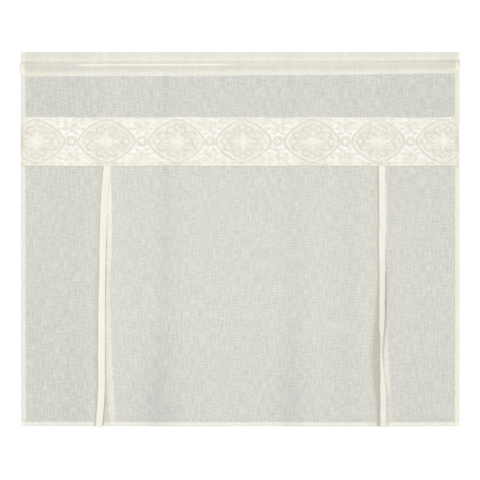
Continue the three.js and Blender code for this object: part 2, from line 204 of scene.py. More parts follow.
def makeFloor():
    # A pale disc that fades out towards its edge
    radius, sides = room["floorRadius"], room["floorSides"]
    turns = [2 * math.pi * k / sides for k in range(sides)]
    points = [(radius * math.cos(turn), radius * math.sin(turn), 0) for turn in turns]
    mesh = bpy.data.meshes.new("floor")
    mesh.from_pydata(points, [], [range(sides)])
    floor = newObject("floor", mesh)
    floor.location = (0, 0, -room["floorDrop"])
    material, tree, shader = newMaterial("pale floor")
    join(room["floorColor"], shader["Base Color"])
    join(0.8, shader["Roughness"])
    place = addNode(tree, "ShaderNodeTexCoord").outputs["Object"]
    away = addNode(tree, "ShaderNodeVectorMath", {0: place}, operation="LENGTH").outputs["Value"]
    share = calc("DIVIDE", away, radius)
    join(calc("MULTIPLY_ADD", share, -room["floorFade"], room["floorFade"], clamp=True), shader["Alpha"])
    mesh.materials.append(material)


def makeLaceBackdrop():
    # A clear sheet in the window of the lace, so that its open holes show the same grey as the cloth
    inset, lap, back = room["laceWindow"]
    edge, top, foot = halfWidth - inset, laceTopEdge + lap, laceFootEdge - lap
    corners = [(-edge, -foot), (edge, -foot), (edge, -top), (-edge, -top)]
    mesh = bpy.data.meshes.new("lace_backdrop")
    mesh.from_pydata([(x * mm, back * mm, z * mm) for x, z in corners], [], [(0, 1, 2, 3)])
    sheet = newObject("lace_backdrop", mesh)
    material, tree, _ = newMaterial("clear backdrop")
    clear = addNode(tree, "ShaderNodeBsdfTransparent").outputs[0]
    join(clear, nodeOf(tree, "OUTPUT_MATERIAL").inputs["Surface"])
    mesh.materials.append(material)


makeCamera()
makeLamps()
makeStudio()
makeFloor()
makeLaceBackdrop()
print("stage: camera, studio and floor")


# Shared finishes. A grain is in bumps per metre, across and down the cloth.
weave = {
    "drift": (45, 45),
    "wander": 2.4,  # threads that a line of the weave drifts by
    "grains": {"X": (700, 22), "Y": (22, 700)},
    "thickness": (0.9, 0.25),  # how uneven, and the thinnest
    "gap": 0.52,
    "slubs": (((240, 26), 1.8), ((44, 230), 1.4)),
    "slubCover": 0.45,
    "slubTint": 1.2,
    "slubHeight": 0.5,
}
laceStitch = {
    "grain": (240, 240),
    "uneven": 1.4,
    "netCover": (0.5, 0.62),  # from the net's threads, and between them
    "filledCover": 0.75,
    "netHeight": 0.45,
    "unevenHeight": 0.6,
}


def socketKind(label):
    kinds = {"Place": "NodeSocketVector", "Color": "NodeSocketColor"}
    return kinds.get(label.split()[-1], "NodeSocketFloat")


def newGroup(name, inputs, outputs):
    group = bpy.data.node_groups.new(name, "ShaderNodeTree")
    for label, value in {"Place": (0, 0, 0), **inputs}.items():
        kind = socketKind(label)
        socket = group.interface.new_socket(name=label, in_out="INPUT", socket_type=kind)
        socket.default_value = (*value, 1.0) if kind == "NodeSocketColor" else value
    for label in outputs:
        group.interface.new_socket(name=label, in_out="OUTPUT", socket_type=socketKind(label))
    given = group.nodes.new("NodeGroupInput").outputs
    result = group.nodes.new("NodeGroupOutput").inputs
    axes = addNode(group, "ShaderNodeSeparateXYZ", {0: given["Place"]}).outputs
    return group, given, result, axes


def stretchedNoise(place, grain, detail=2.0):
    # Noise that is longer one way
    tree = place.id_data
    spread = addNode(tree, "ShaderNodeVectorMath", {0: place, 1: (*grain, 1.0)}, operation="MULTIPLY")
    inputs = {"Scale": 1.0, "Detail": detail, "Vector": spread.outputs[0]}
    return addNode(tree, "ShaderNodeTexNoise", inputs).outputs[0]


def plainWeave():
    # Uneven threads over and under each other, with slubs both ways
    group, given, result, axes = newGroup("plain weave", {
        "Threads per Metre": 900.0, "Cover": 0.5, "Openness": 0.5, "Slubs": 0.5,
        "Thread Color": (0.8, 0.8, 0.7), "Slub Color": (0.9, 0.9, 0.8),
    }, ["Color", "Coverage", "Height"])
    place = given["Place"]
    drift = stretchedNoise(place, weave["drift"])
    waves, threads = [], []
    for axis, grain in weave["grains"].items():
        count = calc("MULTIPLY", axes[axis], given["Threads per Metre"])
        wander = calc("MULTIPLY_ADD", drift, weave["wander"], count)
        wave = calc("SINE", calc("MULTIPLY", wander, math.pi))
        width = calc("MULTIPLY_ADD", stretchedNoise(place, grain, 1.0), *weave["thickness"])
        waves.append(wave)
        threads.append(calc("MULTIPLY", calc("ABSOLUTE", wave), width))
    over = calc("MULTIPLY_ADD", calc("MULTIPLY", *waves), 0.5, 0.5, clamp=True)
    under = calc("SUBTRACT", 1.0, over)
    height = calc("ADD", calc("MULTIPLY", threads[0], over), calc("MULTIPLY", threads[1], under))
    gaps = calc("SUBTRACT", weave["gap"], calc("MAXIMUM", *threads))
    slubs = []
    for grain, amount in weave["slubs"]:
        slubs.append(calc("MULTIPLY_ADD", stretchedNoise(place, grain, 2.5), amount, -amount / 2))
    uneven = calc("MULTIPLY", calc("ADD", *slubs), given["Slubs"])
    base = calc("SUBTRACT", given["Cover"], calc("MULTIPLY", gaps, given["Openness"]))
    tint = calc("MULTIPLY_ADD", uneven, weave["slubTint"], 0.5, clamp=True)
    join(blendColors(tint, given["Thread Color"], given["Slub Color"]), result["Color"])
    join(calc("MULTIPLY_ADD", uneven, weave["slubCover"], base, clamp=True), result["Coverage"])
    join(calc("MULTIPLY_ADD", uneven, weave["slubHeight"], height), result["Height"])
    return group


def twistedThread():
    # Yarn plied round its own length. The place runs along the thread, then round it.
    group, given, result, axes = newGroup("twisted thread", {
        "Turns per Metre": 500.0, "Thread Color": (0.9, 0.9, 0.8), "Hollow Color": (0.8, 0.8, 0.7),
    }, ["Color", "Height"])
    along = calc("MULTIPLY", axes["X"], given["Turns per Metre"])
    twist = calc("MULTIPLY", calc("ADD", along, axes["Y"]), 2 * math.pi)
    ply = calc("MULTIPLY_ADD", calc("SINE", twist), 0.5, 0.5)
    fuzz = stretchedNoise(given["Place"], (900, 6))
    # The hollows between the plies get a darker colour: painted shade
    join(blendColors(ply, given["Hollow Color"], given["Thread Color"]), result["Color"])
    join(calc("MULTIPLY_ADD", fuzz, 0.4, ply), result["Height"])
    return group


def laceWork():
    # Stitched ground of the lace. Fullness is 0 in the loose net and 1 in the filled motifs.
    group, given, result, axes = newGroup("lace work", {
        "Fullness": 0.5, "Stitches per Metre": 420.0, "Loose Cover": 0.7,
        "Loose Color": (0.9, 0.9, 0.8), "Filled Color": (0.95, 0.95, 0.9),
    }, ["Color", "Coverage", "Height"])
    waves = []
    for sign in (1.0, -1.0):
        slant = calc("MULTIPLY_ADD", axes["Y"], sign, axes["X"])
        count = calc("MULTIPLY", slant, given["Stitches per Metre"])
        waves.append(calc("ABSOLUTE", calc("SINE", calc("MULTIPLY", count, math.pi))))
    net = calc("MAXIMUM", *waves)
    uneven = stretchedNoise(given["Place"], laceStitch["grain"], 3.0)
    lumps = calc("MULTIPLY_ADD", uneven, laceStitch["uneven"], -laceStitch["uneven"] / 2)
    filled = calc("ADD", given["Fullness"], lumps, clamp=True)
    loose = calc("MULTIPLY", calc("MULTIPLY_ADD", net, *laceStitch["netCover"]), given["Loose Cover"])
    cover = calc("MULTIPLY_ADD", filled, laceStitch["filledCover"], loose, clamp=True)
    rough = calc("MULTIPLY", uneven, laceStitch["unevenHeight"])
    join(blendColors(filled, given["Loose Color"], given["Filled Color"]), result["Color"])
    join(cover, result["Coverage"])
    join(calc("MULTIPLY_ADD", net, laceStitch["netHeight"], rough), result["Height"])
    return group


weaveGroup = plainWeave()
threadGroup = twistedThread()
laceGroup = laceWork()


def startMaterial(name, group, values, finish):
    # A material with one shared effect in it, read over the flat cloth
    material, tree, shader = newMaterial(name)
    flat = addNode(tree, "ShaderNodeUVMap", uv_map="flat_cloth")
    effect = addNode(tree, "ShaderNodeGroup", {"Place": flat.outputs[0], **values}, node_tree=group)
    join(effect.outputs["Color"], shader["Base Color"])
    join(finish["roughness"], shader["Roughness"])
    join(finish["shine"], shader["Specular IOR Level"])
    strength, depth = finish["bump"]
    raised = {"Strength": strength, "Distance": depth * mm, "Height": effect.outputs["Height"]}
    join(addNode(tree, "ShaderNodeBump", raised).outputs[0], shader["Normal"])
    if "glow" in finish:
        # The thin cloth is seen through, and its threads let some of the light from behind through
        join(effect.outputs["Coverage"], shader["Alpha"])
        front = nodeOf(tree, "BSDF_PRINCIPLED").outputs[0]
        through = addNode(tree, "ShaderNodeBsdfTranslucent", {"Color": finish["glowColor"]}).outputs[0]
        both = addNode(tree, "ShaderNodeMixShader", {0: finish["glow"], 1: front, 2: through})
        join(both.outputs[0], nodeOf(tree, "OUTPUT_MATERIAL").inputs["Surface"])
    return material, effect, shader


def maskValue(tree, label):
    return addNode(tree, "ShaderNodeAttribute", attribute_name=label).outputs["Fac"]


def clothFinish(name, values, finish):
    material, effect, shader = startMaterial(name, weaveGroup, values, finish)
    tree = material.node_tree
    color = effect.outputs["Color"]
    if "glow" in finish:
        # Bunched cloth covers more and looks whiter; through the fullness mask this also paints the light and
        # shade of creases, ridges and grooves. The warmth mask warms the colour beside the seams and paints
        # warm shade beside the ties
        bunchedAndPaintedLight = maskValue(tree, "fullness")
        join(calc("ADD", bunchedAndPaintedLight, values["Cover"]), effect.inputs["Cover"])
        whiter = calc("MULTIPLY", bunchedAndPaintedLight, finish["whiten"], clamp=True)
        color = blendColors(whiter, color, finish["whiteColor"])
        color = blendColors(maskValue(tree, "warmth"), color, finish["warmColor"])
    join(blendColors(maskValue(tree, "shade"), color, finish["shadeColor"]), shader["Base Color"])
    return material


sheerFinish = {
    "roughness": 0.95, "shine": 0.12, "bump": (0.35, 0.25), "glow": 0.15, "glowColor": (0.85, 0.84, 0.77),
    "whiten": 2.0, "whiteColor": (0.95, 0.945, 0.87), "warmColor": (0.855, 0.812, 0.66),
    "shadeColor": (0.30, 0.29, 0.26),
}
netMaterial = clothFinish("sheer net cloth", {
    "Threads per Metre": 880.0, "Cover": 0.49, "Openness": 0.5, "Slubs": 0.8,
    "Thread Color": (0.89, 0.88, 0.80), "Slub Color": (0.94, 0.925, 0.84),
}, sheerFinish)
# The hems' copy of the net cloth, its colour set to paint the light in their pressed layers
hemMaterial = clothFinish("net cloth in hems", {
    "Threads per Metre": 880.0, "Cover": 0.50, "Openness": 0.5, "Slubs": 0.55,
    "Thread Color": (0.872, 0.866, 0.812), "Slub Color": (0.90, 0.888, 0.838),
}, sheerFinish)
headingMaterial = clothFinish("heading cloth", {
    "Threads per Metre": 880.0, "Cover": 0.48, "Openness": 0.3, "Slubs": 0.25,
    "Thread Color": (0.837, 0.823, 0.738), "Slub Color": (0.877, 0.861, 0.778),
}, sheerFinish)
denseFinish = {"roughness": 0.9, "shine": 0.12, "bump": (0.4, 0.2), "shadeColor": (0.36, 0.35, 0.31)}
tieMaterial = clothFinish("tie cloth", {
    "Threads per Metre": 1300.0, "Cover": 1.0, "Openness": 0.0, "Slubs": 0.75,
    "Thread Color": (0.859, 0.831, 0.742), "Slub Color": (0.914, 0.886, 0.796),
}, {**denseFinish, "shadeColor": (0.40, 0.355, 0.25)})
# A copy of the tie cloth for the ties seen through the net, its colour set for the dimmer light there, with
# painted shade from the tieShade table
backTieMaterial = clothFinish("tie cloth behind the net", {
    "Threads per Metre": 1300.0, "Cover": 1.0, "Openness": 0.0, "Slubs": 0.35,
    "Thread Color": (0.85, 0.84, 0.785), "Slub Color": (0.885, 0.875, 0.82),
}, denseFinish)
laceFinish = {
    "roughness": 0.9, "shine": 0.15, "bump": (0.6, 0.35), "glow": 0.06, "glowColor": (0.9, 0.87, 0.78),
    "warmColor": (0.84, 0.77, 0.63),
}
threadFinish = {"roughness": 0.85, "shine": 0.2, "bump": (0.5, 0.15)}


def makeLaceMaterial():
    material, effect, shader = startMaterial("cotton lace", laceGroup, {
        "Stitches per Metre": 430.0, "Loose Cover": 0.95,
        "Loose Color": (0.745, 0.71, 0.60), "Filled Color": (1.0, 0.988, 0.938),
    }, laceFinish)
    tree = material.node_tree
    join(maskValue(tree, "fullness"), effect.inputs["Fullness"])
    warmed = blendColors(maskValue(tree, "warmth"), effect.outputs["Color"], laceFinish["warmColor"])
    join(warmed, shader["Base Color"])
    return material


def makeThreadMaterial(name, color, hollow, turns):
    values = {"Turns per Metre": turns, "Thread Color": color, "Hollow Color": hollow}
    return startMaterial(name, threadGroup, values, threadFinish)[0]


laceMaterial = makeLaceMaterial()
cordMaterial = makeThreadMaterial("lace cord", (0.83, 0.80, 0.72), (0.75, 0.725, 0.645), 420.0)
barMaterial = makeThreadMaterial("lace bar", (0.972, 0.94, 0.86), (0.91, 0.88, 0.80), 700.0)
edgeCordMaterial = makeThreadMaterial("lace edge cord", (0.96, 0.93, 0.84), (0.88, 0.85, 0.75), 420.0)
sewingMaterial = makeThreadMaterial("sewing thread", (0.90, 0.88, 0.79), (0.80, 0.77, 0.68), 1600.0)
print("stage: cloth, lace and thread finishes")


# Making the meshes
def newPiece(name, points, faces, flat, material, masks=None):
    # points and flat are arrays in mm, one row for each point. flat is its place on the flat cloth.
    # masks are named values for each point, which the finishes read.
    mesh = bpy.data.meshes.new(name)
    mesh.from_pydata((points * mm).tolist(), [], faces)
    corners = np.zeros(len(mesh.loops), dtype=np.int32)
    mesh.loops.foreach_get("vertex_index", corners)
    uv = mesh.uv_layers.new(name="flat_cloth")
    uv.data.foreach_set("uv", (flat[corners] * mm).astype(np.float32).ravel())
    for label, values in (masks or {}).items():
        made = mesh.attributes.new(label, "FLOAT", "POINT")
        made.data.foreach_set("value", values.astype(np.float32).ravel())
    mesh.materials.append(material)
    mesh.shade_smooth()
    piece = newObject(name, mesh)
    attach(piece, "root")
    return piece


def gridCells(rows, columns):
    corner = np.arange(rows * columns).reshape(rows, columns)
    sides = (corner[:-1, :-1], corner[1:, :-1], corner[1:, 1:], corner[:-1, 1:])
    return np.stack(sides, axis=-1).reshape(-1, 4)


def clothPiece(name, x, y, z, across, down, material, masks):
    # x, y and z are grids of places, a row for each line of points.
    # across and down are the places on the flat cloth.
    x, y, z, across, down = np.broadcast_arrays(x, y, z, across, down)
    points = np.stack([x, y, z], axis=-1).reshape(-1, 3)
    flat = np.stack([across, down], axis=-1).reshape(-1, 2)
    spread = {label: values + 0 * x for label, values in masks.items()}
    return newPiece(name, points, gridCells(*x.shape).tolist(), flat, material, spread)


def brightenHems(piece, footHem):
    # The pressed layers of the hems have their own, fuller copy of the net cloth, its colour set to paint the
    # light that falls in and between them
    mesh = piece.data
    mesh.materials.append(hemMaterial)
    middles = np.zeros(len(mesh.polygons) * 3)
    mesh.polygons.foreach_get("center", middles)
    x, _, z = middles.reshape(-1, 3).T / mm
    inHem = np.abs(x) > halfWidth - netCloth["sideHem"]
    if footHem:
        inHem |= z < -curtainDrop + netCloth["footHem"]
    mesh.polygons.foreach_set("material_index", inHem.astype(np.int32))


def lightPasses(piece):
    # Light goes on through the thin threads, so the cloth throws no shadow on what hangs behind it
    piece.visible_shadow = False


def tubePiece(name, lines, radius, sides, material):
    # Many thin tubes in one mesh. Each line is an array of places in mm, mostly level with the cloth.
    points, flat, faces = [], [], []
    turns = 2 * np.pi * np.arange(sides) / sides
    first = 0
    for line in lines:
        step = np.gradient(line, axis=0)
        step /= np.linalg.norm(step, axis=1, keepdims=True) + 1e-9
        side = np.cross(step, (0, -1, 0))
        side /= np.linalg.norm(side, axis=1, keepdims=True) + 1e-9
        out = np.cross(side, step)
        swing = side[:, None] * np.cos(turns)[None, :, None] + out[:, None] * np.sin(turns)[None, :, None]
        points.append((line[:, None] + radius * swing).reshape(-1, 3))
        places = np.broadcast_arrays(lengthsAlong(*line.T)[:, None], turns / (2 * np.pi) / mm)
        flat.append(np.stack(places, axis=-1).reshape(-1, 2))
        ring = first + np.arange((len(line) - 1) * sides).reshape(-1, sides)
        after = np.roll(ring, -1, axis=1)
        faces += np.stack([ring, after, after + sides, ring + sides], axis=-1).reshape(-1, 4).tolist()
        first += len(line) * sides
    return newPiece(name, np.concatenate(points), faces, np.concatenate(flat), material)


# Smooth unevenness: how much, width and height of its bumps in mm, seed and number of waves
unevenness = {
    "cloth": (0.3, 34, 150, 3, 7),
    "fine cloth": (0.15, 11, 60, 4, 7),
    "seam pucker": (0.16, 3.2, 3.2, 5, 7),
    "front wall": (0.35, 40, 9, 11, 7),
    "heading": (0.12, 30, 14, 12, 7),
    "back wall": (0.4, 50, 12, 13, 7),
    "heading cover": (0.028, 30, 60, 14, 7),
    "lace ground": (0.12, 60, 40, 22, 7),
    "lace lumps": (0.05, 14, 10, 23, 7),
    "lace grain": (1, 1.95, 1.8, 24, 40),
    "lace edge": (1, 6, 6, 31, 7),
    "tie place": (0.3, 22, 1, 40, 7),
    "tie width": (0.35, 17, 1, 50, 7),
    "tie turn": (1.6, 30, 1, 60, 7),
    "tie face": (0.1, 9, 5, 70, 7),
}


def ripples(kind, x, z, more=0):
    amount, wide, tall, seed, waves = unevenness[kind]
    rng = np.random.default_rng(seed + more)
    total = 0
    for _ in range(waves):
        turnX, turnZ = rng.normal(0, 1.6, 2)
        start = rng.uniform(0, 2 * np.pi)
        total = total + np.sin(x / wide * turnX + z / tall * turnZ + start)
    return amount * total / math.sqrt(waves)


def filledRun(stops, step):
    # Even places between the stops of a folded run, each a place and how far it lies behind the front
    run = [stops[0]]
    for start, end in zip(stops, stops[1:]):
        count = max(1, round(abs(end[0] - start[0]) / step))
        for k in range(1, count + 1):
            run.append([mix(a, b, k / count) for a, b in zip(start, end)])
    place, back = np.array(run).T
    return place, back, lengthsAlong(place, back)


def turnedHem(edge, inward, width, layer):
    # Stops of a hem that is turned twice, from its raw edge to the start of the single cloth:
    # how far in from the edge, and how many layers behind the front
    third, half = layer / 3, layer / 2
    stops = [
        (1.6, 1), (width - 1.2, 1), (width - half, 1.08), (width, 1.5), (width - half, 1.92),
        (width - 1.4, 2), (1.4, 2), (third, 1.75), (0, 1), (third, 0.25), (1.4, 0), (width - 4, 0),
        (width - 1.2, 0), (width + 0.8, 0), (width + 6, 0),
    ]
    return [(edge + inward * inside, layer * layers) for inside, layers in stops]


def sideHemRun(step, layer):
    # From side to side of the curtain, round both of its side hems
    left, right = (turnedHem(side * halfWidth, -side, netCloth["sideHem"], layer) for side in (-1, 1))
    return filledRun(left + right[::-1], step)


# How the cloth hangs. Each soft fold steps the cloth forward on its right side.
# Place, width and step of each fold in mm, at the lace and at the foot
folds = {
    "left pair": [(-500, -520), (60, 90), (0.5, 3.5)],
    "long crease": [(-226, -262), (24, 96), (2, 8)],
    "middle swell": [(20, 0), (160, 220), (-1.5, -6)],
    "right crease": [(186, 160), (44, 64), (1.8, 5.5)],
    "narrow crease": [(352, 345), (40, 52), (1, 2.5)],
    "right edge": [(560, 540), (150, 200), (-1.5, -7)],
}
# Painted light and shade of the cloth's creases and swells, through how much more or less it covers:
# place, width and change, each near the lace, in the middle and near the foot
creaseShading = {
    "left of the left tie": [(-476, -476, -472), (14, 12, 14), (0, 0.02, 0.04)],
    "left tie's trough": [(-455, -460, -461), (5, 6, 6), (-0.02, -0.10, -0.10)],
    "right of the left tie": [(-398, -396, -390), (34, 34, 30), (0.04, 0.05, 0.02)],
    "left outer": [(-550, -550, -540), (80, 80, 76), (-0.04, -0.06, -0.08)],
    "left edge": [(-650, -650, -650), (30, 30, 30), (0, -0.05, -0.05)],
    "beside the long crease": [(-222, -222, -234), (26, 30, 44), (-0.03, -0.03, -0.06)],
    "left of the right tie": [(416, 416, 412), (24, 24, 26), (0.02, 0.06, 0.02)],
    "long crease": [(-238, -243, -276), (17, 24, 52), (-0.05, -0.05, -0.13)],
    "right crease": [(165, 165, 160), (28, 30, 40), (-0.03, -0.05, -0.12)],
    "foot slack": [(0, 0, 60), (100, 100, 420), (0, 0, -0.02)],
    "light swell": [(246, 246, 250), (34, 34, 34), (0.01, 0.02, 0.02)],
    "narrow crease": [(350, 350, 336), (22, 24, 46), (-0.03, -0.04, -0.02)],
    "right outer": [(560, 560, 560), (70, 70, 70), (-0.01, -0.02, -0.03)],
}
creaseShares = (0.1, 0.55, 0.9)  # how far down the lower cloth those three are
hang = {
    "footSwing": 5,  # the foot hangs this far back
    "swingStart": 0.62,
    "foldsFull": 0.25,
    "puckerWide": 5,  # beside a seam
}
netCloth = {
    "sideHem": 14.5,
    "footHem": 13,
    "layer": 0.42,  # from one layer of a side hem to the next
    "footLayer": 0.5,
    "grid": 7.5,
    "lap": 4,  # the cloth runs this far under the lace
    "upperRows": 20,
    "upperLap": 1.5,  # the upper cloth carries on this far behind the pocket's foot
    "upperBunch": -0.04,  # the upper cloth is stretched a little flatter than the lower
    "seamBunch": 0.08,
    "seamLine": (1.8, 2.4),  # how far outside the side seam, and how wide
    "footBunch": 0.13,
    "footLine": (3, 4),
    "footThin": (0.05, 6, 2),  # less at the very foot: how much, how far below the seam, and how soft
    "hemBunch": (-0.03, 0.04),  # the left and the right side hem
    "hemWarmth": 0.4,
    # How wide the warmer bands beside the side and the foot seams are, and how warm they are
    "sideWarmWide": 5,
    "footWarmWide": 10,
    "seamWarmth": 0.55,
    "fineColumns": ((-472, -420), (440, 474)),  # where fine lines run down the cloth beside the ties
    "fineStep": 2,
    "tieLineWide": 2.3,
    # Warmer bands of shade beside the ties: x, width and share at the lace and at the foot
    "tieWarmth": ((-456, 11, 0.5, 0.65), (-427, 8, 0, 0.6), (430, 17, 0.5, 0.5), (475, 13, 0.5, 0.35)),
}
# The cloth is deeply shaded in a line at the right edge of each front tie: drop, x and how dark
tieLines = [
    [(500, -426.5, 0), (545, -427, 0.3), (629, -427.4, 0.6), (722, -429, 0.5), (808, -430.8, 0.45),
     (873, -431, 0.4), (944, -431, 0.5), (1003, -431.2, 0.4), (1073, -431.8, 0.4), (1124, -434, 0.8),
     (1162, -437.2, 0.9), (1190, -440.3, 0.7)],
    [(640, 463.5, 0), (722, 464.8, 0.6), (808, 465, 0.88), (873, 463.4, 0.65), (925, 458.6, 0.85),
     (960, 455.8, 0.8), (1003, 459.5, 0.25), (1060, 467, 0), (1110, 468.2, 0.15), (1190, 468, 0.22)],
]


def shareDown(z):
    # 0 at the lace and 1 at the foot
    return np.clip((-z - laceFootEdge) / (curtainDrop - laceFootEdge), 0, 1)


def drape(x, z):
    # Depth of the single cloth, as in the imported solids
    down = shareDown(z)
    grow = smooth(down / hang["foldsFull"])
    y = hang["footSwing"] * smooth((down - hang["swingStart"]) / (1 - hang["swingStart"]))
    for fold in folds.values():
        centre, wide, step = (mix(*ends, down) for ends in fold)
        y = y - grow * step * np.tanh((x - centre) / (wide / 2)) / 2
    return y


def clothDepth(x, z):
    # The draped cloth with small ripples, drawn in where it is sewn down
    wide = hang["puckerWide"]
    seam = bell(np.abs(x) - halfWidth + netCloth["sideHem"], wide)
    seam = seam + bell(z + curtainDrop - netCloth["footHem"], wide)
    loose = ripples("cloth", x, z) + ripples("fine cloth", x, z)
    return drape(x, z) + loose + seam * ripples("seam pucker", x, z)


def clothMasks(x, z, hemmedFoot):
    # How bunched the cloth is, which also paints the light and shade of its creases; how warm it looks beside
    # its seams and in the painted warm shade beside the ties; and its painted shade in a line beside the ties
    down = shareDown(z)
    full = 0 if hemmedFoot else netCloth["upperBunch"]
    shade = 0
    for line in tieLines:
        drops, places, darks = np.array(line).T
        away = x - np.interp(-z, drops, places)
        shade = shade + np.interp(-z, drops, darks) * bell(away, netCloth["tieLineWide"])
    for crease in creaseShading.values():
        centre, wide, change = (np.interp(down, creaseShares, values) for values in crease)
        full = full + change * bell(x - centre, wide)
    fromSide = halfWidth - netCloth["sideHem"] - np.abs(x)
    single = fromSide > -0.5
    out, wide = netCloth["seamLine"]
    full = full + netCloth["seamBunch"] * bell(fromSide + out, wide)
    full = full + np.where(single, 0, np.where(x < 0, *netCloth["hemBunch"]))
    hemWarm = netCloth["hemWarmth"] * smooth(1 + fromSide / netCloth["sideHem"])
    warm = np.where(single, bell(fromSide, netCloth["sideWarmWide"]), hemWarm)
    if hemmedFoot:
        fromFoot = z + curtainDrop - netCloth["footHem"]
        out, wide = netCloth["footLine"]
        full = full + netCloth["footBunch"] * bell(fromFoot + out, wide)
        thin, below, soft = netCloth["footThin"]
        full = full - thin * smooth((-fromFoot - below) / soft)
        warm = np.maximum(warm, np.where(fromFoot > -0.5, bell(fromFoot, netCloth["footWarmWide"]), 0))
    warm = netCloth["seamWarmth"] * warm
    if hemmedFoot:
        for place, wide, top, foot in netCloth["tieWarmth"]:
            warm = np.maximum(warm, mix(top, foot, down) * bell(x - place, wide))
    return {"fullness": full, "warmth": warm, "shade": shade}


def addFineColumns(x, behind, across):
    # Closer columns of points in the single cloth
    single = (np.abs(x) < halfWidth - 2 * netCloth["sideHem"]) & (behind == 0)
    extra = np.concatenate([np.arange(*span, netCloth["fineStep"]) for span in netCloth["fineColumns"]])
    extraAcross = np.interp(extra, x[single], across[single])
    order = np.argsort(np.r_[across, extraAcross])
    return np.r_[x, extra][order], np.r_[behind, 0 * extra][order], np.r_[across, extraAcross][order]


# Heading and rod pocket
pocket = {
    "stitchDrop": (32.6, 27.1),  # at the left and the right end
    # The pocket's foot: place along the curtain and drop
    "foot": [
        (-703, 78.5), (-685, 77.4), (-640, 77.1), (-560, 77.2), (-420, 76.3), (-300, 76.8), (-115, 76.2),
        (-40, 75.3), (38, 73.9), (114, 73.7), (190, 73.6), (267, 73.2), (344, 72.6), (420, 71.6), (497, 69.9),
        (574, 68.7), (650, 67.8), (703, 67.2),
    ],
    "frontSwell": 2.9,
    "backSwell": 8.8,
    "shoulder": 8,
    "headingGap": 0.55,
    "seamGap": 0.3,
    "topRise": 0.35,
    "endFlare": (3.4, 2),  # at the left and the right end
    "flareLength": 60,
    "footFlare": 0.3,
    "backGap": (0.5, -0.1),  # how far behind the seam the back wall and its turned-in edge begin
    "turnIn": [0.2, 1.2, 2.6, 4.2, 6, 8, 9.5, 11],
    "layer": 0.22,
    # The ridge is a crease just below the upper seam; its extra cover also paints a highlight along it
    "ridge": {
        "ends": (-520, 10), "fade": (12, 110), "below": 10.9, "height": 0.7, "wide": 2.3, "bunchAndPaintedLight": 0.66,
    },
    # How much more or less each wall covers, which paints the light and shade of the heading's and pocket's
    # shape, at shares of the way down the heading and down the pocket
    "headingBunchAndShade": [(0, 0.12), (0.1, 0.08), (0.55, 0.11), (0.76, 0.17), (0.88, 0.18), (1, 0.07)],
    "pocketBunchAndShade": [
        (0, 0.04), (0.1, 0.07), (0.25, 0.04), (0.42, -0.08), (0.56, -0.01), (0.75, 0.10), (0.9, 0.26),
        (1, 0.45),
    ],
    # and at places along the curtain
    "alongBunchAndShade": [
        (-703, -0.08), (-560, -0.08), (-450, -0.03), (-150, 0), (0, 0.02), (300, 0.02), (400, 0), (703, 0),
    ],
    "hemBunch": (0.1, 0.2),  # the side hems of the heading and of the pocket
    # Shade on the left and the right side hem: 0 is the top edge, 1 the stitch line and 2 the foot
    "hemShade": (
        [(0, 0.1), (0.8, 0.08), (0.9, 0.02), (1, 0.28), (1.1, 0.3), (1.22, 0.08), (1.5, 0.09), (1.8, 0.03),
         (2, 0)],
        [(0, 0.1), (0.35, 0.08), (0.5, 0.02), (0.85, 0.02), (0.97, 0.22), (1.1, 0.36), (1.2, 0.1),
         (1.4, 0.1), (1.7, 0), (2, 0)],
    ),
    # Shade just below the stitch line, along the curtain
    "seamShade": [
        (-703, 0.2), (-640, 0.06), (-500, 0.05), (-400, 0), (350, 0), (430, 0.1), (600, 0.14), (660, 0.35),
        (703, 0.35),
    ],
    "seamShadeBelow": 2.4,
    # Shade in a line beside each hem: place, width, how dark at the left and right, and share in the pocket
    "hemLine": (684, 5, (0.03, 0.11), 0.5),
    # Both ends have yellowed: how much, from where, how softly, and how softly at the top edge
    "endWarmth": (0.25, 560, 120, 10),
    "hemWarmth": 0.3,  # share of it on the hems
    # Shares of the way up the walls and up the heading where the cloth has its rows of points
    "wallRows": [
        0, 0.02, 0.05, 0.09, 0.14, 0.2, 0.27, 0.35, 0.43, 0.5, 0.56, 0.62, 0.67, 0.71, 0.74, 0.765, 0.79,
        0.815, 0.85, 0.89, 0.93, 0.97, 1,
    ],
    "headingRows": [0.03, 0.08, 0.14, 0.2, 0.28, 0.36, 0.52, 0.68, 0.8, 0.88, 0.94, 0.98],
}


def stitchLine(x):
    return -mix(*pocket["stitchDrop"], (x + halfWidth) / (2 * halfWidth))


def pocketLine(x):
    return -tableAt(pocket["foot"], x)


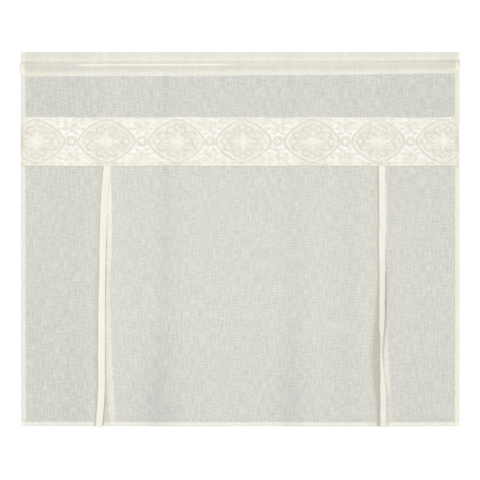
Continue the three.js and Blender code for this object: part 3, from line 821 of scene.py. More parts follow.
def pocketRows(x):
    # The cloth's path up the front wall and the heading, over the top, and down behind to its turned-in edge
    ridge = pocket["ridge"]
    gap, seam, rise = pocket["headingGap"], pocket["seamGap"], pocket["topRise"]
    stitch, foot = stitchLine(x), pocketLine(x)
    rows = []

    def add(y, z, flare, bunchAndPaintedLight):
        rows.append([values + 0 * x for values in (y, z, flare, bunchAndPaintedLight)])

    def wall(z, share):
        # The swell, and how far the open ends spread, which is most near the upper seam
        swell = smooth(np.minimum(stitch - z, z - foot) / pocket["shoulder"])
        return swell, swell * mix(pocket["footFlare"], 1, smooth(share * 1.6))

    def ridgeAt(z):
        # A crease in the front wall, just below the upper seam, that stands out on the left half
        (start, end), (startFade, endFade) = ridge["ends"], ridge["fade"]
        fade = smooth((x - start) / startFade) * smooth((end - x) / endFade)
        return fade * bell(z - stitch + ridge["below"], ridge["wide"])

    def addHeading(share, side):
        z = stitch * (1 - share)
        full = smooth(share / 0.1)
        sag = full * ripples("heading", x, z) if side < 0 else 0
        add(side * mix(seam, gap, full) + sag, z, 0, tableAt(pocket["headingBunchAndShade"], 1 - share))

    def addBack(z, share, behind, bunchAndPaintedLight):
        swell, flare = wall(z, share)
        swell = swell * (pocket["backSwell"] + ripples("back wall", x, z))
        add(seam + behind + swell, z, flare, bunchAndPaintedLight)

    for share in pocket["wallRows"]:
        z = mix(foot, stitch, share)
        swell, flare = wall(z, share)
        out = swell * (pocket["frontSwell"] - ripples("front wall", x, z)) + ridge["height"] * ridgeAt(z)
        add(-seam - out, z, flare, tableAt(pocket["pocketBunchAndShade"], 1 - share) + ridge["bunchAndPaintedLight"] * ridgeAt(z))
    for share in pocket["headingRows"]:
        addHeading(share, -1)
    for turn in np.radians((30, 90, 150)):
        add(-gap * np.cos(turn), rise * (np.sin(turn) - 1), 0, pocket["headingBunchAndShade"][0][1])
    for share in reversed(pocket["headingRows"]):
        addHeading(share, 1)
    wallGap, edgeGap = pocket["backGap"]
    for share in reversed(pocket["wallRows"]):
        addBack(mix(foot, stitch, share), share, wallGap, tableAt(pocket["pocketBunchAndShade"], 1 - share))
    for up in pocket["turnIn"]:
        addBack(foot + up, 0, edgeGap, 0)
    return np.array(rows).transpose(1, 0, 2)


def makeHeadingPocket():
    x, behind, across = sideHemRun(netCloth["grid"], pocket["layer"])
    y, z, flares, bunchesAndPaintedLight = pocketRows(x)
    # A hem's layers lie on the cloth's inner side, square to its path
    stepY, stepZ = np.gradient(y, axis=0), np.gradient(z, axis=0)
    length = np.hypot(stepY, stepZ) + 1e-9
    y = y + behind * stepZ / length
    z = z - behind * stepY / length
    nearEnd = smooth((np.abs(x) - halfWidth + pocket["flareLength"]) / pocket["flareLength"])
    shift = np.sign(x) * np.where(x < 0, *pocket["endFlare"]) * nearEnd * flares
    middle = len(x) // 2
    down = lengthsAlong(y[:, middle], z[:, middle])
    stitch, foot = stitchLine(x), pocketLine(x)
    inHem = np.abs(x) > halfWidth - netCloth["sideHem"] - 0.5
    inHeading = z > stitch
    way = np.where(inHeading, z / stitch, 1 + (stitch - z) / (stitch - foot))
    hemShade = np.where(x < 0, *(tableAt(table, way) for table in pocket["hemShade"]))
    below = pocket["seamShadeBelow"]
    seamShade = tableAt(pocket["seamShade"], x) * bell(z - stitch + below, below)
    place, wide, darks, pocketShare = pocket["hemLine"]
    lineShade = np.where(x < 0, *darks) * np.where(inHeading, 1, pocketShare) * bell(np.abs(x) - place, wide)
    bunchAndPaintedLight = bunchesAndPaintedLight + ripples("heading cover", x, z) + tableAt(pocket["alongBunchAndShade"], x)
    warmth, start, soft, topSoft = pocket["endWarmth"]
    warm = warmth * smooth((np.abs(x) - start) / soft) * smooth(-z / topSoft)
    masks = {
        "fullness": np.where(inHem, np.where(inHeading, *pocket["hemBunch"]), bunchAndPaintedLight),
        "shade": np.where(inHem, hemShade, seamShade + lineShade),
        "warmth": np.where(inHem, pocket["hemWarmth"], 1) * warm,
    }
    piece = clothPiece("heading_pocket", x + shift, y, z, across, down[:, None],
                       headingMaterial, masks)
    lightPasses(piece)
    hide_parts("rod_pocket")


# Upper and lower cloth
def netPiece(name, x, behind, z, across, down, hemmedFoot):
    masks = clothMasks(x, z, hemmedFoot)
    y = clothDepth(x, z) + behind
    piece = clothPiece(name, x, y, z, across, down, netMaterial, masks)
    brightenHems(piece, hemmedFoot)
    lightPasses(piece)
    return piece


def makeUpperCloth():
    x, behind, across = sideHemRun(netCloth["grid"], netCloth["layer"])
    foot = -laceTopEdge - netCloth["lap"]
    top = pocketLine(x) + netCloth["upperLap"]
    rows = np.linspace(0, 1, netCloth["upperRows"])[:, None]
    height = np.mean(top) - foot
    piece = netPiece("upper_cloth", x, behind, mix(top, foot, rows), across, rows * height, hemmedFoot=False)
    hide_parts("upper_panel")


def makeLowerCloth():
    x, behind, across = addFineColumns(*sideHemRun(netCloth["grid"], netCloth["layer"]))
    hem = turnedHem(-curtainDrop, 1, netCloth["footHem"], netCloth["footLayer"])
    run = filledRun([(-laceFootEdge + netCloth["lap"], 0)] + hem[::-1], netCloth["grid"])
    z, back, down = (values[:, None] for values in run)
    piece = netPiece("lower_cloth", x, behind + back, z, across, down, hemmedFoot=True)
    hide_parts("lower_panel")


# Lace insert
# A repeat is a pointed oval with an eight-petal rosette, then a ring between two fans. Sizes are in mm.
lace = {
    "repeat": 218,
    "ovals": [-650, -427, -200, 9, 232, 442, 647],
    "grid": 1.55,
    "hemLayer": 0.3,
    "depth": -1.5,  # where the ground lies, in front of the cloth
    "edgeWave": (1.1, 47, 131),  # height, short and long wave
    "relief": 0.55,
    "gapRim": (0.25, 1.2),  # how high the rim of a gap is, and how far from the gap
    "footLap": 2.8,  # how much lower the foot edge reaches, over its seam
    "hemWarmth": (0.45, 26, 14),  # the side hems have yellowed a little: how much, from where and how softly
    "ovalWarmth": 0.12,
    "cord": 0.75,
    "cordRise": 0.45,  # in front of the ground
    "cordAway": 0.6,  # from the edge of a gap to its cord
    "outlineAway": 0.7,
    "edgeCord": 0.95,
    "edgeCordRise": 0.35,
    "edgeCords": ((0.9, 0.15), (13.5, 0.3)),  # how far in from each long edge, and how uneven
    "dotPitch": 6.4,
    "barPitch": 1.42,  # of the fine bars across each narrow gap
    "threadRadius": 0.54,
    "leafPitch": 1.13,
}
oval = {"halfWidth": 89, "halfHeight": 67.5, "power": 1.5, "gap": 3.6}
# Where each oval lies, and where it does in the even pattern, with one more beyond either end
ovalPlaces = [-873, *lace["ovals"], 852]
ovalRuns = lace["repeat"] * np.arange(-1, len(lace["ovals"]) + 1)
# The middle's place, tilt in degrees, length and width of each leaf-shaped gap, and half those of each petal
petals = [(17, 32.5, 58, 15.5, 12), (41, 15.5, 20, 21, 12.5)]
petalGap = 2.3
petalCusp = (30.6, 25.7)  # where a steep and a flat petal meet
rosetteMiddle = (44, 31, 36)  # its half width and half height, and their mean
rosetteLine = 2.6  # how wide the thin line round it is
ovalRim = (7, 4)  # how far inside an oval its thicker rim lies, and how wide it is
eyes = [(15.5, 25, 58, 17, 6.5), (33, 12.5, 20, 19, 6)]
fanLeaves = [(0, 44, 90, 25, 9), (17, 57, 60, 14, 6), (29, 40.5, 8, 18, 6), (14, 25, -12, 15, 5.4)]
rings = {"inner": 9.6, "outer": 14.2, "eye": 1}
ringMiddle = (rings["inner"] + rings["outer"]) / 2
endRing = {"z": 46.5, "radius": 10, "gap": 2.2}
sideDiamond = {"x": 61, "half": 13.5, "gap": 1.8}
noGap = -9  # far from any opening
# Thickly filled spots of a fan and of an oval: place, half width and half height
fanKnots = [(0, 22.5, 9, 4.2), (16, 18, 8, 3.4), (26.5, 31.5, 9, 4.8), (33, 47, 8, 4.4), (9, 34, 3.4, 3.4)]
ovalKnots = [(28, 22, 4, 4), (0, 26, 2.6, 9), (26, 0, 20, 2.8), (4, 4, 12, 8), (61, 0, 6, 5)]
beads = {"away": 7.5, "pitch": 9.5, "size": 2.6, "full": 0.78}  # a row of knots round each oval
disc = {"radius": 8.5, "full": 0.3}  # inside the ring of a fan
# How thickly the lace is worked, from 0 in the loose net to 1: the ground, and what each thing adds or takes
fanWork = {"ground": 0.48, "knots": 0.48, "leaves": -0.16, "grain": 0.42}
ovalWork = {
    "ground": 0.43, "star": 0.29, "rim": 0.12, "rosette": -0.48, "eyes": -0.62, "grain": 0.24, "dots": 0.3,
}
ovalTip = (46, 0.03 / 0.42)  # how wide the thin spot over an oval is, and its opposite between ovals
# Beside the long edges: how far from the lace's middle, spread, and how much
edgeWork = {
    "inner": (61, 5, 0.06), "top": (73.5, 2.2, 0.45), "foot": (73.5, 2.2, 0.02), "overOval": (70, 5, -0.42),
}


def ovalRadius(angle):
    wide = np.abs(np.cos(angle)) / oval["halfWidth"]
    high = np.abs(np.sin(angle)) / oval["halfHeight"]
    return (wide ** oval["power"] + high ** oval["power"]) ** (-1 / oval["power"])


def turnedInto(shape, x, z):
    # Along and across a tilted shape, from its middle
    midX, midZ, tilt, _, _ = shape
    turn = math.radians(tilt)
    u = (x - midX) * math.cos(turn) + (z - midZ) * math.sin(turn)
    return u, (z - midZ) * math.cos(turn) - (x - midX) * math.sin(turn)


def turnedOut(shape, u, v):
    midX, midZ, tilt, _, _ = shape
    turn = math.radians(tilt)
    x = midX + u * math.cos(turn) - v * math.sin(turn)
    return x, midZ + u * math.sin(turn) + v * math.cos(turn)


def inLeaf(leaf, x, z):
    # How far inside a leaf-shaped gap a place is
    u, v = turnedInto(leaf, x, z)
    _, _, _, long, wide = leaf
    return wide / 2 * (1 - (2 * u / long) ** 2) - np.abs(v)


def petalSide(x, z):
    # How far outside the rosette a place is, in its first quarter
    halfWide, halfHigh, mean = rosetteMiddle
    side = (np.hypot(x / halfWide, z / halfHigh) - 1) * mean
    for petal in petals:
        u, v = turnedInto(petal, x, z)
        _, _, _, long, wide = petal
        side = np.minimum(side, (np.hypot(u / long, v / wide) - 1) * (long + wide) / 2)
    return side


def motifPlaces(x, z):
    # Places in the nearest oval and in the nearest fan, both folded into their first quarter,
    # and how far outside the oval they are
    run = np.interp(x, ovalPlaces, ovalRuns)
    repeat = lace["repeat"]
    ovalX = np.abs(run - np.round(run / repeat) * repeat)
    fanX = np.abs(run - (np.floor(run / repeat) + 0.5) * repeat)
    up = np.abs(z - laceMiddle)
    return ovalX, fanX, up, np.hypot(ovalX, up) - ovalRadius(np.arctan2(up, ovalX))


def nearTrims(x, z, margin):
    # True inside an oval's two small rings and two diamonds and this far round them
    inRing = np.hypot(x, z - endRing["z"]) < endRing["radius"] + endRing["gap"] / 2 + margin
    inDiamond = np.abs(x - sideDiamond["x"]) + z < sideDiamond["half"] + sideDiamond["gap"] + margin
    return inRing | inDiamond


def inGap(x, z):
    # How far inside an opening of the lace a place is
    ovalX, fanX, up, outside = motifPlaces(x, z)
    atCusp = np.hypot(ovalX - petalCusp[0], up - petalCusp[1]) < 4
    scallop = petalGap / 2 - np.abs(petalSide(ovalX, up))
    scallop = np.where(nearTrims(ovalX, up, 6) | atCusp, noGap, scallop)
    ring = endRing["gap"] / 2 - np.abs(np.hypot(ovalX, up - endRing["z"]) - endRing["radius"])
    diamondAway = np.abs(np.abs(ovalX - sideDiamond["x"]) + up - sideDiamond["half"]) / math.sqrt(2)
    diamond = sideDiamond["gap"] / 2 - diamondAway
    away = np.hypot(fanX, up)
    fanRing = (rings["outer"] - rings["inner"]) / 2 - np.abs(away - ringMiddle)
    inOval = (scallop, ring, diamond, *(inLeaf(eye, ovalX, up) for eye in eyes))
    inFan = (fanRing, rings["eye"] - away, *(inLeaf(leaf, fanX, up) for leaf in fanLeaves))
    gap = oval["gap"] / 2 - np.abs(outside)
    for within, shapes in ((outside < -4, inOval), (outside > 4, inFan)):
        for shape in shapes:
            gap = np.maximum(gap, np.where(within, shape, noGap))
    return gap


def thinRound(leaves, x, z):
    # The lace is worked thinly round its leaf-shaped openings
    thin = 0
    for leaf in leaves:
        u, v = turnedInto(leaf, x, z)
        _, _, _, long, wide = leaf
        thin = np.maximum(thin, bell(2 * u, long) * bell(1.1 * v, wide))
    return thin


def knotted(knots, x, z, power):
    found = np.zeros_like(z)
    for knotX, knotZ, wide, high in knots:
        away = ((x - knotX) / wide) ** 2 + ((z - knotZ) / high) ** 2
        found = np.maximum(found, np.exp(-(away ** power)))
    return found


def beadsRound(x, z, outside):
    angle = np.arctan2(z, x)
    along = np.mod(angle * ovalRadius(angle) / beads["pitch"], 1) - 0.5
    return bell(along * beads["pitch"], beads["size"]) * bell(outside - beads["away"], beads["size"])


def meshDots(x, z):
    # Rows of knots round the middle of an oval, about 1 in the middle and fading outwards
    turn = 2 * np.pi / lace["dotPitch"]
    return np.cos(turn * x) * np.cos(turn * z) * bell(np.hypot(x / 1.4, z), 15)


def edgesWorked(x, z, up):
    # More along the long edges, most along the upper one, and less where an oval's tip comes close
    wide, between = ovalTip
    inner, top, foot, tip = (bell(up - place, spread) * amount for place, spread, amount in edgeWork.values())
    return inner + np.where(z > laceMiddle, top, foot) + tip * (bell(x, wide) - between)


def filledAt(x, z):
    # How thickly the lace is worked at a place
    ovalX, fanX, up, outside = motifPlaces(x, z)
    filled = disc["full"] * np.exp(-((np.hypot(fanX, up) / disc["radius"]) ** 4))
    knots = np.maximum(knotted(fanKnots, fanX, up, 2), filled)
    knots = np.maximum(knots, beads["full"] * beadsRound(ovalX, up, outside))
    grain = ripples("lace grain", x, z)
    onRosette = (outside < -4) & ~nearTrims(ovalX, up, 2)
    inFan = {"ground": 1, "knots": knots, "leaves": thinRound(fanLeaves, fanX, up), "grain": grain}
    inOval = {
        "ground": 1, "star": knotted(ovalKnots, ovalX, up, 1), "rim": bell(outside + ovalRim[0], ovalRim[1]),
        "rosette": np.where(onRosette, bell(petalSide(ovalX, up), rosetteLine), 0),
        "eyes": thinRound(eyes, ovalX, up), "grain": grain, "dots": meshDots(ovalX, up),
    }
    fan = edgesWorked(ovalX, z, up) + sum(fanWork[name] * value for name, value in inFan.items())
    medallion = sum(ovalWork[name] * value for name, value in inOval.items())
    return np.clip(np.where(outside > 0, fan, medallion) + ripples("lace lumps", x, z), 0, 1)


def laceEdges(x):
    height, short, long = lace["edgeWave"]
    half = (laceFootEdge - laceTopEdge) / 2
    top, foot = (height * np.sin(x / short + shift) * np.sin(x / long) for shift in (2, 0))
    return laceMiddle + half + top, laceMiddle - half - lace["footLap"] - foot


def makeLaceGround():
    place, back, length = sideHemRun(lace["grid"], lace["hemLayer"])
    rows = round((laceFootEdge - laceTopEdge) / lace["grid"]) + 1
    gridZ = mix(*laceEdges(place), np.linspace(0, 1, rows)[:, None])
    grids = np.broadcast_arrays(place, gridZ, length, back)
    gap = inGap(grids[0], gridZ)
    gap[:2] = gap[-2:] = -1
    table = np.stack(grids, axis=-1).reshape(-1, 4)
    level = gap.ravel()
    extra, known = [], {}

    def crossing(a, b):
        # Where the edge of an opening crosses a side of a cell
        a, b = min(a, b), max(a, b)
        if (a, b) not in known:
            share = min(0.92, max(0.08, level[a] / (level[a] - level[b])))
            known[a, b] = len(table) + len(extra)
            extra.append(mix(table[a], table[b], share))
        return known[a, b]

    cells = gridCells(rows, len(place))
    open_ = level[cells] > 0
    faces = cells[~open_.any(axis=1)].tolist()
    for cell in cells[open_.any(axis=1) & ~open_.all(axis=1)].tolist():
        outline = []
        for a, b in zip(cell, cell[1:] + cell[:1]):
            if level[a] <= 0:
                outline.append(a)
            if (level[a] <= 0) != (level[b] <= 0):
                outline.append(crossing(a, b))
        faces.append(outline)
    table = np.concatenate([table, np.array(extra)])
    used = np.unique(np.concatenate(faces))
    order = np.zeros(len(table), dtype=int)
    order[used] = np.arange(len(used))
    faces = [order[face].tolist() for face in faces]
    x, z, across, behind = table[used].T
    full = filledAt(x, z)
    rim, away = lace["gapRim"]
    relief = lace["relief"] * full + rim * bell(np.minimum(inGap(x, z), 0) + away, 1)
    y = lace["depth"] + behind - np.where(behind < 0.1, relief, 0) + ripples("lace ground", x, z)
    warmth, start, soft = lace["hemWarmth"]
    warm = np.where(motifPlaces(x, z)[3] < 0, lace["ovalWarmth"], 0)
    warm = np.maximum(warm, warmth * smooth((np.abs(x) - halfWidth + start) / soft))
    points, flat = np.stack([x, y, z], axis=-1), np.stack([across, z], axis=-1)
    masks = {"fullness": full, "warmth": warm}
    piece = newPiece("lace_insert", points, faces, flat, laceMaterial, masks)
    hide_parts("lace_band")
    return piece, length[-1]


def roundCurve(midX, midZ, reach):
    # A closed curve, at a share of its way round and this far to its outer side
    def curve(t, side):
        angle = 2 * np.pi * t
        radius = reach(angle, side)
        return np.array([midX + radius * np.cos(angle), midZ + radius * np.sin(angle)])
    return curve


def petalCurve(petal, signX, signZ):
    def curve(t, side):
        angle = math.radians(210) * (t - 0.5)
        _, _, _, long, wide = petal
        x, z = turnedOut(petal, (long + side) * np.cos(angle), (wide + side) * np.sin(angle))
        return np.array([signX * x, signZ * z])
    return curve


def diamondReach(angle, side):
    return (sideDiamond["half"] + side * math.sqrt(2)) / (np.abs(np.cos(angle)) + np.abs(np.sin(angle)))


def onRosetteEdge(place):
    # True where a petal's own edge is the edge of the whole rosette
    return (petalSide(*place) > -petalGap - 1.2) & ~nearTrims(*place, 3.5)


def laceLines():
    # Raised cords beside the gaps, and the thin threads that cross them
    cords, threads = [], []
    mirrors = [(1, 1), (1, -1), (-1, 1), (-1, -1)]
    cordAway = lace["cordAway"]

    def add(kind, points, middle):
        # A line of the even pattern, laid on the real lace and ended at its side edges
        run, z = points
        x = np.interp(run + middle, ovalRuns, ovalPlaces)
        line = np.stack([x, np.full_like(x, lace["depth"] - lace["cordRise"]), z + laceMiddle], axis=-1)
        line = line[np.abs(x) < halfWidth - 2]
        if len(line) > 1 and (len(line) == len(x) or kind is cords):
            kind.append(line)

    def crossGap(curve, width, middle, clear=None):
        # Bars at an even pitch along a curved gap
        shares = np.linspace(0, 1, 300)
        length = lengthsAlong(*curve(shares, 0))
        count = round(length[-1] / lace["barPitch"])
        for k, t in enumerate(np.interp((np.arange(count) + 0.5) * length[-1] / count, length, shares)):
            lean = 0.2 / count * math.sin(5 * k + middle)
            near, far = curve(t - lean, -width / 2), curve(t + lean, width / 2)
            if clear is None or clear(np.abs(near)):
                add(threads, np.stack([near, far], axis=1), middle)

    def crossLeaf(leaf, middle):
        # Threads from side to side of a leaf-shaped gap, in all of its mirrored places
        _, _, _, long, wide = leaf
        for u in np.arange(-long / 2 + 1.2, long / 2, lace["leafPitch"]):
            reach = wide / 2 * (1 - (2 * u / long) ** 2) + 0.8
            x, z = turnedOut(leaf, u, np.array([-reach, reach]))
            for signX, signZ in mirrors:
                if signX > 0 or leaf[0]:
                    add(threads, np.array([signX * x, signZ * z]), middle)

    outline = roundCurve(0, 0, lambda angle, side: ovalRadius(angle) + side)
    fanRing = roundCurve(0, 0, lambda angle, side: ringMiddle + side)
    trims = []
    for sign in (1, -1):
        ring = roundCurve(0, sign * endRing["z"], lambda angle, side: endRing["radius"] + side)
        trims.append((ring, -2, endRing["gap"]))
        trims.append((roundCurve(sign * sideDiamond["x"], 0, diamondReach), -1.8, sideDiamond["gap"]))
    part, round_ = np.linspace(0, 1, 26), np.linspace(0, 1, 22)
    ovalGap = oval["gap"] + 2 * lace["outlineAway"]
    for k in range(len(lace["ovals"])):
        middle = k * lace["repeat"]
        for side in (-1, 1):
            add(cords, outline(np.linspace(0, 1, 150), side * ovalGap / 2), middle)
        crossGap(outline, ovalGap, middle)
        for petal in petals:
            for signs in mirrors:
                curve = petalCurve(petal, *signs)
                inner = curve(part, -petalGap / 2 - cordAway)
                add(cords, inner[:, onRosetteEdge(np.abs(inner))], middle)
                crossGap(curve, petalGap + 2 * cordAway, middle, onRosetteEdge)
        for curve, side, gap in trims:
            add(cords, curve(round_, side), middle)
            crossGap(curve, gap + 2 * cordAway, middle)
        for eye in eyes:
            crossLeaf(eye, middle)
        if k + 1 < len(lace["ovals"]):
            middle += lace["repeat"] / 2
            for leaf in fanLeaves:
                crossLeaf(leaf, middle)
            for radius in (rings["inner"] - cordAway, rings["outer"] + cordAway):
                add(cords, fanRing(np.linspace(0, 1, 30), radius - ringMiddle), middle)
            crossGap(fanRing, rings["outer"] - rings["inner"] + 2 * cordAway, middle)
    return cords, threads


def makeLace():
    ground, across = makeLaceGround()
    cords, threads = laceLines()
    cordPiece = tubePiece("lace_cords", cords, lace["cord"], 6, cordMaterial)
    threadPiece = tubePiece("lace_threads", threads, lace["threadRadius"], 5, barMaterial)
    x = np.linspace(-halfWidth + 0.5, halfWidth - 0.5, 420)
    edges = []
    for z, inward in zip(laceEdges(x), (-1, 1)):
        for inset, wobble in lace["edgeCords"]:
            wavy = z + inward * inset + wobble * ripples("lace edge", x, 0)
            edges.append(np.stack([x, np.full_like(x, lace["depth"] - lace["edgeCordRise"]), wavy], axis=-1))
    edgePiece = tubePiece("lace_edge_cords", edges, lace["edgeCord"], 8, edgeCordMaterial)


# Ties
ties = {
    "thickness": 1.6,
    "flatWidth": 20.5,
    "clothFace": 0.6,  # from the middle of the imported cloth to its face
    "seamGap": 0.3,
    "rowStep": 7,
    "pinch": (0.45, 9),  # how much flatter it is pressed where it is sewn in, and for how long
    "seamShare": 0.42,  # of the width, from the middle to the stitches
    "slant": {"tie_front_left": -5.2, "tie_front_right": -1.2, "tie_back_left": 3, "tie_back_right": -3},
}
# Rows down each tie, in mm and degrees: drop, x, width, turn about its own length, clearance from the cloth
tieRows = {
    "tie_front_left": [
        (364, -424, 22, 0, 0), (383, -426.3, 22.1, 0, 0.1), (415, -429.3, 23, -1, 0.1),
        (449, -432, 22.8, -1, 0.2), (545, -437.1, 21.2, -1, 0.5), (629, -439.5, 20.2, 0, 0.5),
        (722, -440.9, 19, 1, 0.5), (808, -442.4, 21, 1, 0.5), (873, -442.1, 21.8, 2, 0.5),
        (944, -443, 22.3, 2, 0.5), (1003, -442.9, 21.6, 1, 0.5), (1073, -443.1, 21.2, 0, 0.7),
        (1124, -445.9, 21.6, -1, 1), (1162, -449, 21.7, -2, 1.5), (1197.5, -451.8, 20.2, -3, 2),
    ],
    "tie_front_right": [
        (364, 453.1, 21, 0, 0), (383, 453, 21.1, 0, 1), (449, 453, 21.2, -1, 1.3),
        (545, 453.3, 21.2, -1, 1.3), (629, 451.9, 20.5, 0, 1.3), (722, 452.7, 19, 3, 1.3),
        (808, 451.6, 19.4, 18, 1.3), (873, 450.1, 19.8, 34, 1.3), (925, 447.5, 20, 71, 1.3),
        (960, 446.1, 20, 72, 1.3), (1003, 449, 20, 60, 1.6), (1040, 451.6, 20.3, 46, 2),
        (1073, 454, 20.6, 30, 2.4), (1124, 455.7, 20.7, 19, 1.8), (1162, 455.7, 20.6, 18, 1.8),
        (1196, 455.5, 20.6, 17, 1.8),
    ],
    "tie_back_left": [
        (359, -423.5, 21.5, 0, 0), (440, -422, 21.5, 0, 1), (543, -420.2, 21, 2, 1.2),
        (629, -422, 21, 2, 1.6), (722, -426.2, 20.5, 2, 2), (808, -426, 20.5, 1, 1.6),
        (872, -423.2, 21, 0, 1.4), (958, -421, 21, 0, 1.4), (1003, -419, 21, -1, 1.4),
        (1073, -415, 21, -1, 1.6), (1124, -412, 21.5, -2, 2), (1184, -407.5, 19, -3, 4),
    ],
    "tie_back_right": [
        (359, 461, 20.5, 0, 0), (440, 459.5, 20.5, 0, 1), (545, 459.5, 20.5, -2, 1.4),
        (629, 460.5, 20.5, -3, 1.6), (730, 462, 20.5, -2, 1.6), (880, 461.5, 21, 0, 1.4),
        (940, 460.3, 21, 1, 1.2), (1003, 464, 21, 2, 1.2), (1073, 470.5, 20.5, 2, 2),
        (1124, 474, 20.5, 3, 4), (1183, 475, 20, 4, 6),
    ],
}
# How shaded each tie is down its length: drop and share
tieShade = {
    "tie_front_left": [(360, 0), (1200, 0)],
    "tie_front_right": [
        (360, 0.03), (640, 0.05), (722, 0.15), (808, 0.27), (873, 0.3), (930, 0.17), (1003, 0.24),
        (1073, 0.2), (1200, 0.21),
    ],
    "tie_back_left": [
        (360, 0), (475, 0), (540, 0.15), (655, 0.18), (700, 0.33), (900, 0.29), (1120, 0.29), (1200, 0.36),
    ],
    "tie_back_right": [
        (360, 0.42), (410, 0.35), (430, 0.1), (565, 0.08), (590, 0.35), (640, 0.45), (690, 0.66),
        (820, 0.66), (880, 0.55), (920, 0.33), (950, 0.22), (1020, 0.22), (1075, 0.34), (1120, 0.48),
        (1200, 0.5),
    ],
}
# Painted shade down the face of a tie, where it is a little hollow between its edges: share of the width,
# spread and how dark
tieHollowShade = {"tie_front_left": (0.08, 0.2, 0.07)}
curl = {"tie_front_right": (945, 75, 2.5)}  # where a strip curls, how long and how deep
frays = {"count": 34, "length": (0.6, 2.4), "bend": 0.35, "sewnIn": 0.3, "radius": 0.16}
# A tie's two front layers, from the raw edge to the left fold, and the same mirrored behind:
# share of the width, and share of half the thickness
frontFold = [
    (-0.40, -0.30), (-0.2, -0.30), (0.1, -0.30), (0.35, -0.30), (0.47, -0.34), (0.5, -0.58), (0.47, -0.84),
    (0.40, -0.96), (0.2, -0.90), (0, -0.84), (-0.2, -0.90), (-0.40, -0.96), (-0.47, -0.84), (-0.497, -0.4),
]
tieFold = frontFold + [(-0.5, 0)] + [(share, -layer) for share, layer in reversed(frontFold)]


def isFront(name):
    return name.startswith("tie_front")


def tieSeed(name):
    return list(tieRows).index(name)


def tieCurve(drops, wanted, values):
    # An easy curve through the rows of one column
    def rise(row):
        return np.r_[row[1:], row[-1]] - np.r_[row[0], row[:-1]]

    slopes = rise(values) / rise(drops)
    index = np.clip(np.searchsorted(drops, wanted, side="left") - 1, 0, len(drops) - 2)
    length = drops[index + 1] - drops[index]
    t = (wanted - drops[index]) / length
    return (
        (2 * t ** 3 - 3 * t ** 2 + 1) * values[index]
        + (t ** 3 - 2 * t ** 2 + t) * length * slopes[index]
        + (3 * t ** 2 - 2 * t ** 3) * values[index + 1]
        + (t ** 3 - t ** 2) * length * slopes[index + 1]
    )


def tiePath(name):
    # Middle, width and turn down the tie, with its small unevenness
    drops, *columns = np.array(tieRows[name], dtype=float).T
    drop = np.linspace(drops[0], drops[-1], round((drops[-1] - drops[0]) / ties["rowStep"]) + 1)
    x, wide, turn, clear = (tieCurve(drops, drop, column) for column in columns)
    seed = tieSeed(name)
    x = x + ripples("tie place", drop, 0, seed)
    wide = wide + ripples("tie width", drop, 0, seed)
    turn = np.radians(turn + ripples("tie turn", drop, 0, seed))
    reach = wide / 2 * np.abs(np.sin(turn)) + ties["thickness"] / 2 * np.abs(np.cos(turn))
    away = ties["clothFace"] + ties["seamGap"] + np.maximum(0, clear) + reach
    return drop, x, drape(x, -drop) + (-away if isFront(name) else away), wide, turn


def makeTie(name):
    drop, x, y, wide, turn = (values[:, None] for values in tiePath(name))
    share, layer = np.array(tieFold).T
    layer = layer * ties["thickness"] / 2
    down = drop - drop[0]
    across = share * wide
    pinch, long = ties["pinch"]
    deep = layer * (1 - pinch * smooth(1 - down / long)) + ripples("tie face", drop, across, tieSeed(name))
    if name in curl:
        centre, spread, depth = curl[name]
        deep = deep + depth * bell(drop - centre, spread) * (0.5 - (2 * share) ** 2)
    shade = tableAt(tieShade[name], drop) + 0 * deep
    if name in tieHollowShade:
        centre, spread, dark = tieHollowShade[name]
        shade = shade + dark * bell(share - centre, spread)
    slant = ties["slant"][name] * share * smooth((down - down[-1] + 10) / 10)
    px = x + across * np.cos(turn) - deep * np.sin(turn)
    py = y + across * np.sin(turn) + deep * np.cos(turn)
    pz = -drop + slant + 0 * px
    cut = lengthsAlong(share * ties["flatWidth"], layer)
    finish = tieMaterial if isFront(name) else backTieMaterial
    piece = clothPiece(name + "_strip", px, py, pz, cut, down, finish, {"shade": shade})
    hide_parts(name)
    ends = makeFrays(name, px[-1], py[-1], pz[-1])
    # The line of its stitches, and the way out of its face
    seam = ties["seamShare"] * wide
    line = np.hstack([x + seam * np.cos(turn), y + seam * np.sin(turn), -drop])
    return line, np.hstack([-np.sin(turn), np.cos(turn), 0 * turn])


def makeFrays(name, x, y, z):
    # Loose thread ends that hang from the cut edge
    rng = np.random.default_rng(80 + tieSeed(name))
    lines = []
    for _ in range(frays["count"]):
        spot = rng.uniform(0, len(x) - 1.001)
        k, t = int(spot), spot % 1
        start = np.array([mix(a[k], a[k + 1], t) for a in (x, y, z)])
        length = rng.uniform(*frays["length"])
        bend = rng.normal(0, frays["bend"], 2)
        steps = np.linspace(-frays["sewnIn"], 1, 4)[:, None]
        reach = np.array([*bend, -1.0]) * length
        lines.append(start + steps * reach + np.array([bend[1], 0, 0]) * steps ** 2)
    return tubePiece(name + "_frays", lines, frays["radius"], 4, sewingMaterial)


# Sewing
sewing = {
    "stitch": 2.5,
    "pitch": 3.3,
    "radius": 0.22,
    "lift": 0.28,
    "sunk": 0.1,  # how deep its ends are in the cloth
    "start": 0.12,  # share of the pitch before the first stitch
    "fromHem": 1.2,  # how far outside the inner edge of a hem
    "aboveHeadingSeam": 0.4,
    "abovePocketFoot": 1.4,
    "inLace": 2.6,
    "laceRise": 0.5,
    "tieFace": 0.46,  # share of a tie's thickness
}


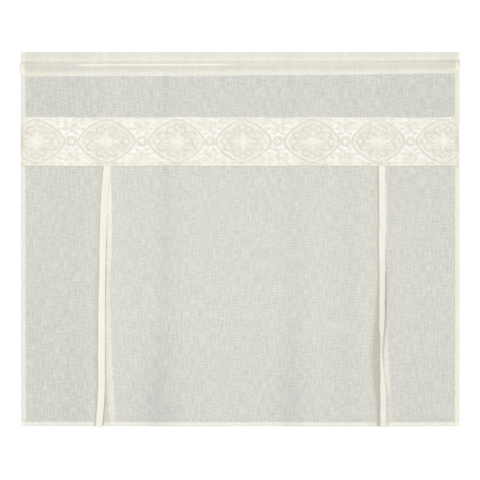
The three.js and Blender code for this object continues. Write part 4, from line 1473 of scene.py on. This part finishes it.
def stitchesAlong(line, outward):
    # Short stitches that stand a little out of the cloth. outward is the way out, for each point.
    length = lengthsAlong(*line.T)
    lift = np.array([-sewing["sunk"], sewing["lift"], -sewing["sunk"]])[:, None]
    found = []
    for k in range(int(length[-1] / sewing["pitch"])):
        at = (k + sewing["start"]) * sewing["pitch"] + sewing["stitch"] * np.array([0, 0.5, 1])
        spot = [np.interp(at, length, axis) for axis in line.T]
        way = [np.interp(at, length, axis) for axis in outward.T]
        found.append(np.array(spot).T + np.array(way).T * lift)
    return found


def frontStitches(x, y, z):
    line = np.stack(np.broadcast_arrays(x, y, z), axis=-1)
    return stitchesAlong(line, np.broadcast_to((0, -1, 0), line.shape))


def makeStitches(tieSeams):
    x = np.linspace(-halfWidth + 2, halfWidth - 2, 300)
    heading = frontStitches(x, -pocket["seamGap"], stitchLine(x) + sewing["aboveHeadingSeam"])
    heading += frontStitches(x, -pocket["seamGap"] - 0.25, pocketLine(x) + sewing["abovePocketFoot"])
    footSeam = -curtainDrop + netCloth["footHem"] - sewing["fromHem"]
    cloth = frontStitches(x, clothDepth(x, footSeam), footSeam)
    for top, foot in ((pocketLine(0) - 2, -laceTopEdge + 1), (-laceFootEdge - 1, -curtainDrop + 1)):
        z = np.linspace(top, foot, 120)
        for side in (-1, 1):
            seam = side * (halfWidth - netCloth["sideHem"] + sewing["fromHem"])
            cloth += frontStitches(seam, clothDepth(seam, z), z)
    band, strips = [], []
    for z, inward in zip(laceEdges(x), (-1, 1)):
        band += frontStitches(x, lace["depth"] - sewing["laceRise"], z + inward * sewing["inLace"])
    for line, out in tieSeams:
        for away in (-out, out):
            strips += stitchesAlong(line + away * ties["thickness"] * sewing["tieFace"], away)
    tubePiece("heading_stitches", heading, sewing["radius"], 5, sewingMaterial)
    tubePiece("hem_stitches", cloth, sewing["radius"], 5, sewingMaterial)
    tubePiece("lace_stitches", band, sewing["radius"], 5, sewingMaterial)
    tubePiece("tie_stitches", strips, sewing["radius"], 4, sewingMaterial)


makeHeadingPocket()
print("stage: heading and rod pocket")
makeUpperCloth()
makeLowerCloth()
print("stage: upper and lower cloth")
makeLace()
print("stage: lace insert")
tieSeams = [makeTie(name) for name in tieRows]
print("stage: four ties")
makeStitches(tieSeams)
print("stage: stitches")
